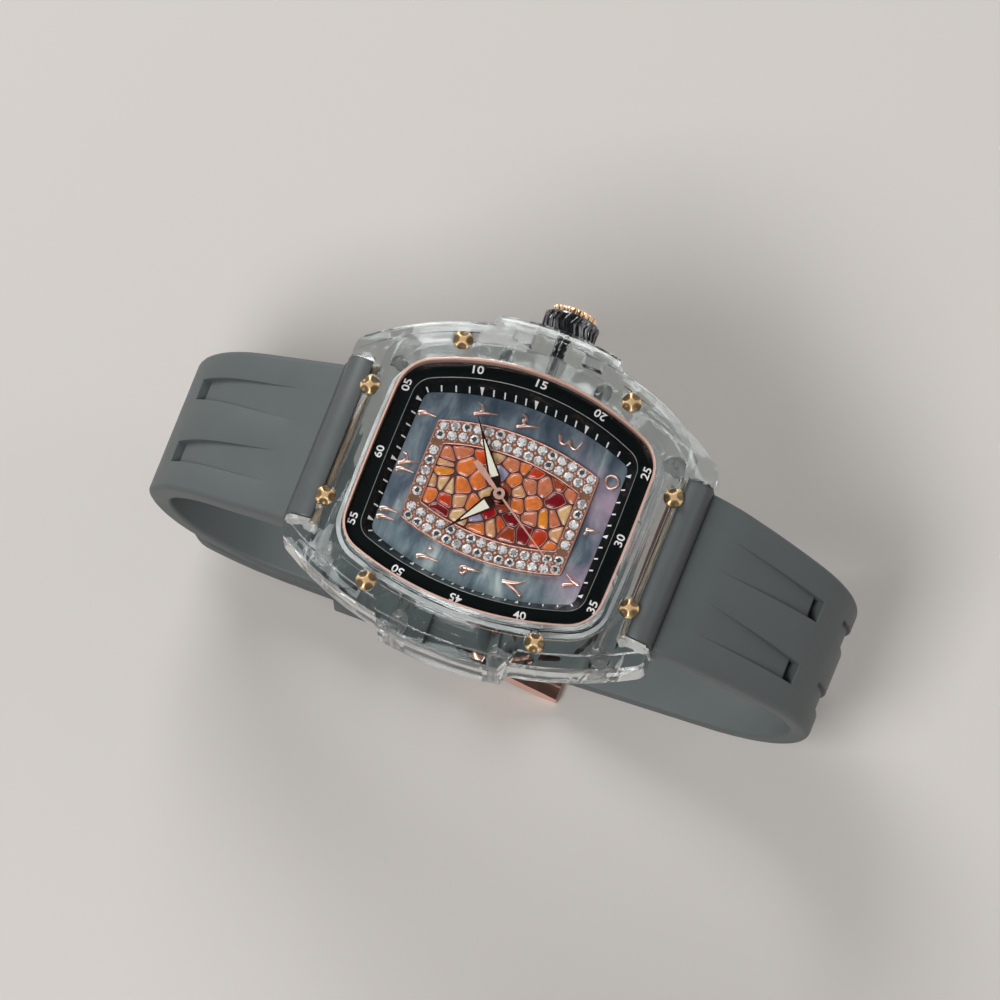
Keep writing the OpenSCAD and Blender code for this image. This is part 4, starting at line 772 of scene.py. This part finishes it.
direction = between / length[..., None]
facing = np.einsum("ijk,rk->ijr", direction, ray)
bound = np.where(facing > 1e-3, (length / 2 - gap_half)[..., None] / np.maximum(facing, 1e-3), 1e3)
wall_y = np.linspace(-window_hl, window_hl, 15)
wall = np.stack([window_x(wall_y), wall_y], 1)
wall_points = np.concatenate([wall, wall * [-1, 1], [[0, window_hl], [0, -window_hl]]])
slope = wall_y / window_r
outward = np.stack([np.sqrt(1 - slope**2), slope], 1)
wall_normals = np.concatenate([outward, outward * [-1, 1], [[0, 1], [0, -1]]])
away = np.einsum("wk,wk->w", wall_points, wall_normals)[None] - seeds @ wall_normals.T - gap_half
wall_facing = wall_normals @ ray.T
wall_bound = np.where(wall_facing[None] > 1e-3, away[..., None] / np.maximum(wall_facing, 1e-3)[None], 1e3)
limits = np.concatenate([bound, wall_bound], axis=1)
edge = (limits ** -9.0).sum(axis=1) ** (-1 / 9.0)
print(len(seeds), "cells, reaching", edge.min().round(2), "to", edge.max().round(2), "mm")

# %% Pebbles and lines
share = np.array([1.0, 0.93, 0.78, 0.5, 0.22])
height = 0.16 * (1 - share**5)
mosaic_top = DIAL + 0.4
px = seeds[:, None, None, :] + ray[None, None] * edge[:, None, :, None] * share[None, :, None, None]
pz = np.broadcast_to((mosaic_top + height)[None, :, None, None], px.shape[:3] + (1,))
pebble_points = np.concatenate([px, pz], axis=3)
per = pebble_points.shape[1] * pebble_points.shape[2]
pebble_faces = copies(grid_faces(len(share), ray_count, wrap_cols=True, caps=True), per, len(seeds))
palette = np.array([screen(*c) for c in [
    (228, 190, 138), (222, 166, 118), (236, 128, 60), (232, 92, 34), (236, 148, 40), (206, 62, 28),
    (190, 10, 26), (128, 8, 20), (142, 78, 78), (186, 184, 214), (214, 126, 88), (164, 66, 28)]])
weights = np.array([3.5, 3, 3, 2.6, 1.6, 2, 2.2, 2.2, 0.8, 0.6, 1.8, 0.8])
shade = rng.choice(len(palette), len(seeds), p=weights / weights.sum())
enamel = tinted(finish("enamel", (236, 236, 236), rough=0.25, tone=0.17, grain=1800, Coat_Weight=0.4),
                "pebble")
pebbles = mesh_piece("mosaic_pebbles", pebble_points, pebble_faces, enamel, smooth=60)
fix_normals(pebbles)
paint(pebbles, "pebble", palette[np.repeat(shade, per), :3])
tube, tube_sides = 0.045, 6
a = np.arange(tube_sides) * math.pi / 3
line_reach = edge[:, :, None, None] + 0.03 + tube * np.cos(a)[None, None, :, None]
lx = seeds[:, None, None, :] + ray[None, :, None, :] * line_reach
lz = np.broadcast_to((mosaic_top + 0.05 + tube * np.sin(a))[None, None, :, None], lx.shape[:3] + (1,))
line_points = np.concatenate([lx, lz], axis=3)
loop_faces = grid_faces(ray_count, tube_sides, wrap_rows=True, wrap_cols=True)
line_faces = copies(loop_faces, ray_count * tube_sides, len(seeds))
lines = mesh_piece("mosaic_lines", line_points, line_faces, satin_rose, smooth=80)
fix_normals(lines)
print(len(pebble_faces), "pebble faces and", len(line_faces), "line faces")

# %% [markdown]
# ## The screws of the bezel
# Eight domed gold screws. Four round scoops in each head leave a raised four-point star. The head is a
# surface of radius and angle: a dome, less a smooth hollow midway between each two arms. The scoops carry
# painted shade as an attribute, darker towards the middle of each hollow.

# %% Screw heads
def screw_grid(turn):
    """Height = wall, then dome, minus four hollows at 45 degrees to the star; with the painted shade of the
    hollows.

    Dome = 0.5 + 0.5 sqrt(1 - (r / R)^2), and a hollow's share is (1 - (d / 0.64)^2)^0.6 at distance d from
    its middle, which lies 1.03 mm from the axis.
    """
    head_r, hollow_at, hollow_r, hollow_deep, cols = 1.3, 1.03, 0.64, 0.42, 72
    inward = np.linspace(1.24, 0.02, 26)
    r = np.concatenate([[1.28, head_r, head_r, 1.29], inward])
    z = np.concatenate([[0.0, 0.04, 0.42, 0.5], 0.5 + 0.5 * np.sqrt(1 - (inward / head_r) ** 2)])
    rr, aa = np.meshgrid(r, np.linspace(0, 2 * math.pi, cols + 1)[:-1], indexing="ij")
    off_arm = (aa + math.pi / 4) % (math.pi / 2) - math.pi / 4
    from_hollow = math.pi / 4 - np.abs(off_arm)
    d = np.hypot(rr * np.cos(from_hollow) - hollow_at, rr * np.sin(from_hollow))
    scoop = np.clip(1 - (d / hollow_r) ** 2, 0, 1) ** 0.6
    zz = z[:, None] - hollow_deep * scoop * np.clip(z[:, None] * 4 - 0.6, 0, 1)
    grid = np.stack([rr * np.cos(aa + turn), rr * np.sin(aa + turn), zz], axis=-1)
    # Painted shade: the colour falls to 0.22 of full tone in the hollows.
    tone = 1 - 0.78 * np.clip(scoop * 1.6, 0, 1)
    return grid, grid_faces(len(r), cols, wrap_cols=True, caps=True), tone


crest, seat_deep, bar_r = 4.9, 0.75, 0.65
side_y, end_y = 11.6, half_long - shoulder_long - 0.63
side_z = crest - front_drop(side_y) - seat_deep
end_z = crest - front_drop(end_y) - seat_deep
bar_z = 1.6 - front_drop(end_y) - 0.75
heads, painted_shade_tones = [], []
for k, (x, y, z) in enumerate([(17.05, side_y, side_z), (7.85, end_y, end_z)]):
    seat = DIAL + z + 0.03
    shank = [(0.4, seat + 0.1), (0.4, seat - (end_z - bar_z + bar_r - 0.1))]
    for sx in (-1, 1):
        for sy in (-1, 1):
            grid, faces, tone = screw_grid(0.2 + 0.9 * k + sx * 0.5 + sy * 0.3)
            heads += [(grid + [sx * x, sy * y, seat], faces), turned(shank, sx * x, sy * y)]
            painted_shade_tones += [tone.ravel(), np.ones(64)]
points, faces = join_grids(heads)
# The screws' gold is multiplied by the painted shade of the hollows, a little warmer than grey.
screws = mesh_piece("cross_screws", points, faces, tinted(yellow_gold, "scoop"), smooth=50)
painted_shade_tones = np.concatenate(painted_shade_tones)
paint(screws, "scoop", np.column_stack([painted_shade_tones, painted_shade_tones * 0.96, painted_shade_tones * 0.9]))
fix_normals(screws)
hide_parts("bezel_screws")
print(len(heads) // 2, "screws")

# %% [markdown]
# ## The strap
# Grey silicone in two halves. Each follows its own route in the YZ plane, made of arcs and straights, and
# a section with rounded edges is carried along it. Two pairs of wedge grooves are sunk into the outer
# face, one pair before the bend and one after it: each starts flush and ends in a short deep slot.
#
# The short half runs straight, bends once and lies flat. It must fall from z1 to z2 while it turns from
# heading h to 180 degrees, so the bend's radius is (z1 - z2) / (1 + cos h). The long half leaves over a
# shoulder of three arcs, turns through one more arc into a gentle slope, and blends into the flat part. The
# radius of that arc and the length of the slope are the two unknowns: the fall in z and the way in along Y
# each give one equation, and the cell below solves them.

# %% Routes
def walk(start, legs, s):
    """Place and heading at lengths s: legs are (radius, degrees) arcs or (0, length) straights."""
    out, z, head = (np.full_like(s, v, dtype=float) for v in start)
    left = s.copy()
    for i, (r, amount) in enumerate(legs):
        size = amount if r == 0 else r * math.radians(amount)
        go = np.clip(left, 0 if i else -np.inf, size if i < len(legs) - 1 else np.inf)
        h = np.radians(head)
        if r == 0:
            out, z = out + go * np.cos(h), z - go * np.sin(h)
        else:
            h2 = h + go / r
            out, z = out + r * (np.sin(h2) - np.sin(h)), z - r * (np.cos(h) - np.cos(h2))
            head = np.degrees(h2)
        left = left - go
    return out, z, head


def leg_total(legs):
    """Length of a route: its straights, and radius times angle for its arcs."""
    return sum(amount if r == 0 else r * math.radians(amount) for r, amount in legs)


def far_end(start, legs):
    """Place and heading at the end of a route."""
    return [float(v[0]) for v in walk(start, legs, np.array([leg_total(legs)]))]


keeper_wall, tail_thick, short_thick, strap_thick = 1.0, 2.6, 3.0, 4.2
strap_wide, buckle_wide = 22.4, 17.8
tail_z = keeper_wall + 0.1
short_z = tail_z + tail_thick + 0.3
short_start = (half_long + 0.45, DIAL - 6.3, 30.0)
short_straight = (0, 13.3)
short_low = far_end(short_start, [short_straight])
short_r = (short_low[1] - short_z) / (1 + math.cos(math.radians(short_low[2])))
short_bend = (short_r, 180 - short_low[2])
short_flat = far_end(short_start, [short_straight, short_bend])
bar_y = 2.0
short_legs = [short_straight, short_bend, (0, short_flat[0] - bar_y)]
tail_start = (half_long - 0.25, DIAL - 3.0, 10.0)
shoulder = [(14, 26), (67, 11.5), (17.5, 42.5)]
tail_low = far_end(tail_start, shoulder)
blend_r, slope_head, flat_from = 20.0, 168.0, 1.0
sh, ch = math.sin(math.radians(slope_head)), math.cos(math.radians(slope_head))
tail_drop = tail_low[1] - tail_z - blend_r * (1 + ch)
tail_in = tail_low[0] - flat_from - blend_r * sh
slope_len = (tail_in - tail_drop * (1 - sh) / -ch) / (-ch + sh * (1 - sh) / ch)
low_r = (tail_drop - slope_len * sh) / -ch
tail_legs = shoulder + [(low_r, slope_head - 90), (0, slope_len), (blend_r, 180 - slope_head),
                        (0, flat_from + short_flat[0]), (short_r + 0.3 + tail_thick, 45)]
print("strap halves", round(leg_total(short_legs), 1), "and", round(leg_total(tail_legs), 1), "mm")

# %% Section and grooves
slot_long = 1.4


def groove_depth(s, sets, floor=0.8, slot=1.8):
    """Depth of the grooves at s: a wedge down to the floor, then a short deep slot with a square wall."""
    depth, share = np.zeros_like(s), np.zeros_like(s)
    for start, stop in sets:
        inside = (s - start) / (stop - start)
        back = (stop - s) * np.sign(stop - start)
        wedge = np.where(back > 0, floor * np.clip(inside, 0, 1), 0)
        end = np.interp(back, [-0.16, -0.02, 0, slot_long - 0.05, slot_long + 0.05],
                        [0, 0.14, slot, slot, 0])
        depth = np.maximum(depth, np.maximum(wedge, end))
        share = np.where((inside >= -0.02) & (inside <= 1.02), np.clip(inside, 0, 1), share)
    return depth, share


def strap_grid(start, legs, last, sets, tip=0.0, round_end=0.0, flip=1.0):
    """Rounded section carried along the route, with the grooves pressed into its outer face."""
    total = leg_total(legs)
    edges = np.array([-0.16, -0.02, 0, 0.02, slot_long - 0.05, slot_long, slot_long + 0.05])
    s = np.concatenate([np.arange(0, total, 0.8), [total]] + [b - np.sign(b - a) * edges for a, b in sets])
    s = np.unique(s)
    taper = np.clip(s / 35, 0, 1)
    half = (strap_wide + (buckle_wide - strap_wide) * taper) / 2
    thick = strap_thick + (last - strap_thick) * taper
    inset = np.zeros_like(s)
    if tip:
        half = half - 3.2 * (np.clip(s - total + tip, 0, None) / tip) ** 2
    if round_end:
        a = np.linspace(0, math.pi / 2, 9)[1:]
        s = np.concatenate([s, total + round_end * np.sin(a)])
        half = np.concatenate([half, np.full(8, half[-1])])
        thick = np.concatenate([thick, np.full(8, thick[-1])])
        inset = np.concatenate([inset, round_end * (1 - np.cos(a)) * 0.985])
    depth, share = groove_depth(s, sets)
    out, z, head = walk(start, legs, s)
    n = len(s)
    edge_r, foot_r = 0.75, 0.45
    a = np.linspace(0, math.pi / 2, 6)
    x_cols, d_cols = [], []

    def rounded(sign, r, angles, inner):
        """Columns of a rounded edge on the side given by sign, of the outer or the inner face."""
        for ang in angles:
            x_cols.append(sign * (half - r + r * np.cos(ang)))
            fall = r - r * math.sin(ang)
            d_cols.append(-thick + fall if inner else np.full(n, -fall))

    rounded(-1, edge_r, a, False)
    for side_sign in (-1, 1):
        middle, w = side_sign * 4.4, 2.2 - 0.8 * share
        soft, floor_mark = 0.13, -1.0
        walls = [(-w - soft, 0.0), (-w - 0.03, -0.035), (-w, -soft), (-w + 0.02, floor_mark),
                 (w - 0.02, floor_mark), (w, -soft), (w + 0.03, -0.035), (w + soft, 0.0)]
        for offset, level in walls:
            x_cols.append(middle + offset)
            d_cols.append(-depth if level == floor_mark else -np.minimum(depth, -level))
    rounded(1, edge_r, a[::-1], False)
    outer_cols = len(x_cols)
    rounded(1, foot_r, a, True)
    rounded(-1, foot_r, a[::-1], True)
    x, d = np.stack(x_cols, 1), np.stack(d_cols, 1)
    d[:, :outer_cols] -= 0.05                       # the outer face stays just inside the CAD solid's
    middle = -thick[:, None] / 2
    d = middle + (d - middle) * (1 - inset[:, None] / np.maximum(thick[:, None] / 2, 1e-6))
    h = np.radians(head)[:, None]
    y = out[:, None] + d * np.sin(h)
    zz = z[:, None] + d * np.cos(h)
    return np.stack([x, flip * y, zz], axis=-1), grid_faces(len(s), x.shape[1], wrap_cols=True, caps=True)


def end_grid(start, flip=1.0):
    """The strap end in the case: half-round ridge, block and clamped lip as one profile drawn across."""
    slot_y = half_long - shoulder_long
    lip_top, lip_deep = bar_z - bar_r - 0.03, 2.6
    ridge_r = 2.5
    ridge = np.array([half_long - ridge_r, bar_z + 0.5])
    a = np.radians(np.linspace(112, -62, 26))
    round_part = ridge + ridge_r * np.stack([np.cos(a), np.sin(a)], axis=1)
    h = math.radians(start[2])
    deep = np.array([start[0] + 0.25 - strap_thick * math.sin(h),
                     start[1] - DIAL - strap_thick * math.cos(h)])
    profile = np.concatenate([round_part, [[start[0] + 0.25, start[1] - DIAL], deep,
                              [slot_y + 0.15, lip_top - lip_deep], [end_y - 0.8, lip_top - lip_deep],
                              [end_y - 0.8, lip_top], [slot_y + 0.15, lip_top]]])
    middle = profile.mean(axis=0)
    rows = []
    rounding = [(11.2, 0.9), (11.17, 0.95), (11.08, 0.985), (10.9, 1.0)]
    for x, scale in [(-x, scale) for x, scale in rounding] + rounding[::-1]:
        p = middle + (profile - middle) * scale
        rows.append(np.column_stack([np.full(len(p), x), flip * p[:, 0], DIAL + p[:, 1]]))
    grid = np.stack(rows)
    return grid, grid_faces(len(rows), grid.shape[1], wrap_cols=True, caps=True)


def shade_ridge(piece):
    """Paints shade on the ridge towards its foot: full tone where it faces up, half where it faces
    sideways.
    """
    mesh = piece.data
    up = np.empty(len(mesh.vertices) * 3)
    mesh.vertices.foreach_get("normal", up)
    tone = 0.5 + 0.55 * np.clip(up.reshape(-1, 3)[:, 2], 0, 1) ** 2
    paint(piece, "foot", np.column_stack([tone] * 3))


# The ridge's silicone is multiplied by the painted shade that shade_ridge stores.
ridge_silicone_painted_shade = tinted(finish("ridge_silicone_painted_shade", (82, 87, 87), rough=0.4, tone=0.03, grain=300, bump=0.2,
                               bump_grain=9000), "foot")


def cut(piece, points, faces):
    """Takes the closed form of points and faces out of a piece."""
    tool = mesh_piece("tool", points, faces, silicone, smooth=0)
    fix_normals(tool)
    change = piece.modifiers.new("cut", "BOOLEAN")
    change.object, change.operation, change.solver = tool, "DIFFERENCE", "EXACT"
    bpy.context.view_layer.update()
    graph = bpy.context.evaluated_depsgraph_get()
    mesh = bpy.data.meshes.new_from_object(piece.evaluated_get(graph))
    piece.modifiers.clear()
    piece.data = mesh
    bpy.data.objects.remove(tool)


def box_form(low, high):
    """A plain block between two corners, as points and faces."""
    p = np.array([[x, y, z] for x in (low[0], high[0]) for y in (low[1], high[1])
                  for z in (low[2], high[2])])
    return p, [[0, 1, 3, 2], [4, 6, 7, 5], [0, 4, 5, 1], [2, 3, 7, 6], [0, 2, 6, 4], [1, 5, 7, 3]]


# %% The buckle half
buckle_z = short_z + short_thick / 2
short_grid = strap_grid(short_start, short_legs, short_thick, [(5, 23.5), (52, 29.5)], round_end=1.5)
strap_12 = mesh_piece("strap_buckle_half", *short_grid, silicone, smooth=30)
fix_normals(strap_12)
cut(strap_12, *box_form((-1.7, bar_y - 3, buckle_z - 4), (1.7, bar_y + 2.1, buckle_z + 4)))
bore = np.stack([np.stack([np.full(32, x), bar_y + 0.8 * np.cos(circle),
                           buckle_z + 0.8 * np.sin(circle)], 1) for x in (-20, 20)])
cut(strap_12, bore, grid_faces(2, 32, wrap_cols=True, caps=True))
strap_12_end = mesh_piece("strap_buckle_half_end", *end_grid(short_start), ridge_silicone_painted_shade, smooth=35)
fix_normals(strap_12_end)
shade_ridge(strap_12_end)
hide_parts("strap_12")
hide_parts("strap_12")

# %% The long half
def slot_form(s, length):
    """An oblong hole's cutter, standing square to the tail at distance s along it."""
    out, z, head = (float(v[0]) for v in walk(tail_start, tail_legs, np.array([s])))
    a = np.concatenate([np.linspace(-math.pi / 2, math.pi / 2, 13),
                        np.linspace(math.pi / 2, 1.5 * math.pi, 13)])
    r = 1.3
    side_x = r * np.sin(a)
    run = r * np.cos(a) + np.where(np.arange(26) < 13, length / 2 - r, r - length / 2)
    h = math.radians(head)
    rows = []
    for depth in (1.5, -4.5):
        y = out + run * math.cos(h) + depth * math.sin(h)
        zz = z - run * math.sin(h) + depth * math.cos(h)
        rows.append(np.column_stack([side_x, -y, zz]))
    return np.stack(rows), grid_faces(2, 26, wrap_cols=True, caps=True)


long_grid = strap_grid(tail_start, tail_legs, tail_thick, [(4, 22), (47, 28)], tip=5.0, flip=-1.0)
strap_6 = mesh_piece("strap_long_half", *long_grid, silicone, smooth=30)
fix_normals(strap_6)
tail_total = leg_total(tail_legs)
flat_start = tail_total - (short_r + 0.3 + tail_thick) * math.radians(45) - (flat_from + short_flat[0])
slot_at, hole_pitch = -4.15, 7
for i in range(5):
    middle = flat_start + slot_at + flat_from + (i - 2) * hole_pitch
    cut(strap_6, *slot_form(middle, 4.9 if i == 2 else 3.0))
strap_6_end = mesh_piece("strap_long_half_end", *end_grid(tail_start, flip=-1.0), ridge_silicone_painted_shade, smooth=35)
fix_normals(strap_6_end)
shade_ridge(strap_6_end)
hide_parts("strap_6")
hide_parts("strap_6")
print("strap faces", len(strap_12.data.polygons), len(strap_6.data.polygons))

# %% [markdown]
# ## The keepers
# Two silicone loops hold the tail. Each is a rounded band carried once round a rounded rectangle.

# %% Keeper loops
keeper_long = 5.0


def keeper_grid(y0):
    """A flat section with soft edges carried round a rectangle with rounded corners."""
    inner_w, low, top = 9.1, keeper_wall, short_z + short_thick + 0.1
    r, length = 1.0, keeper_long
    corners = [(inner_w - r, top - r, 0), (-inner_w + r, top - r, 90), (-inner_w + r, low + r, 180),
               (inner_w - r, low + r, 270)]
    turns = [np.radians(np.linspace(a0, a0 + 90, 8)) for _, _, a0 in corners]
    base = np.concatenate([np.tile([cx, cz], (8, 1)) for cx, cz, _ in corners])
    angle = np.concatenate(turns)
    radial = np.stack([np.cos(angle), np.sin(angle)], axis=1)
    soft = 0.22
    section = [(0, soft), (0, length - soft), (0.06, length - 0.06), (soft, length),
               (keeper_wall - soft, length), (keeper_wall - 0.06, length - 0.06),
               (keeper_wall, length - soft), (keeper_wall, soft), (keeper_wall - 0.06, 0.06),
               (keeper_wall - soft, 0), (soft, 0), (0.06, 0.06)]
    cols = [np.column_stack([base[:, 0] + radial[:, 0] * (r + t), np.full(32, y0 + along),
                             base[:, 1] + radial[:, 1] * (r + t)]) for t, along in section]
    grid = np.stack(cols, axis=1)
    grid[..., 2] = np.maximum(grid[..., 2], 0.0)
    return grid, grid_faces(32, len(section), wrap_rows=True, wrap_cols=True)


fixed_y = bar_y + 5.4
loose_y = fixed_y + keeper_long + 3 + 0.4
for name, y0, body in (("keeper_fixed", fixed_y, "watch"), ("keeper_loose", loose_y, "keeper")):
    piece = mesh_piece(name + "_band", *keeper_grid(y0), silicone, body=body, smooth=50)
    fix_normals(piece)
    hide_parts(name)
print("keepers from", fixed_y, "and", loose_y, "mm")

# %% [markdown]
# ## The hub
# A small dark hub closes the seconds pinion: two turned steps, drawn as rings of points.

# %% Hub of the hands
hub_steps = ((0.72, 0.6, 2.2, 2.62), (0.3, 0.2, 2.62, 2.8))
hub = [turned([(r0, DIAL + z0), (r0, DIAL + z1 - 0.05), (r1, DIAL + z1)]) for r0, r1, z0, z1 in hub_steps]
points, faces = join_grids(hub)
hub_piece = mesh_piece("hands_hub", points, faces, gunmetal, body="seconds", smooth=40)
fix_normals(hub_piece)
print(len(hub), "steps on the hub")

# %% [markdown]
# ## Screws seen through the case
# The eight screws of the back show as pale rounds through the clear plastic. Their threads fill their
# holes, so each is one turned profile, a little fuller than its hole, from head to rounded tip.

# %% Screws of the back
old_screws = nodes["back_screws"].data
spots = np.empty(len(old_screws.vertices) * 3)
old_screws.vertices.foreach_get("co", spots)
spots = spots.reshape(-1, 3) / MM
pins = []
pin_places = [(sx * px, sy * py) for px, py in ((half_wide - 8.6, 17.85), (half_wide - 3.2, 6.4))
              for sx in (-1, 1) for sy in (-1, 1)]
profile = [(0.9, 0.02), (1.04, 0.12), (1.17, 0.3), (1.17, 0.92), (0.46, 0.93), (0.46, 4.4), (0.34, 4.55),
           (0.1, 4.6)]
for x, y in pin_places:
    near = np.hypot(spots[:, 0] - centre_x / MM - x, spots[:, 1] - centre_y / MM - y) < 1.2
    foot = spots[near, 2].min()
    pins.append(turned([(r, foot + h) for r, h in profile], x, y))
back_pins = mesh_piece("back_screw_pins", *join_grids(pins), frosted, smooth=40)
fix_normals(back_pins)
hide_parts("back_screws")
print("eight back screws, from", round(foot, 2), "mm above the ground")

# %% Frosted floors of the two pockets beside the crown
pocket_y, pocket_half = 4.7, 1.27
panes = [box_form((half_wide - 1.67, s * pocket_y - pocket_half, DIAL - 2.37),
                  (half_wide - 0.23, s * pocket_y + pocket_half, DIAL - 1.3)) for s in (-1, 1)]
pocket_floors = mesh_piece("pocket_floors", *join_grids(panes), frosted, smooth=0)
fix_normals(pocket_floors)

# %% Soft edges on the solids whose edges catch the light
for name, width in (("bezel", 0.16), ("case_band", 0.12), ("case_back", 0.12), ("crown", 0.06),
                    ("crown_cap", 0.06), ("crown_tube", 0.06), ("hour_hand", 0.05), ("minute_hand", 0.05)):
    weld = nodes[name].modifiers.new("weld", "WELD")
    weld.merge_threshold = 1e-6
    bevel = nodes[name].modifiers.new("bevel", "BEVEL")
    bevel.width = width * MM
    bevel.segments = 2
    bevel.limit_method = "ANGLE"
    bevel.angle_limit = math.radians(35)
    print(name, "has edges", width, "mm wide")
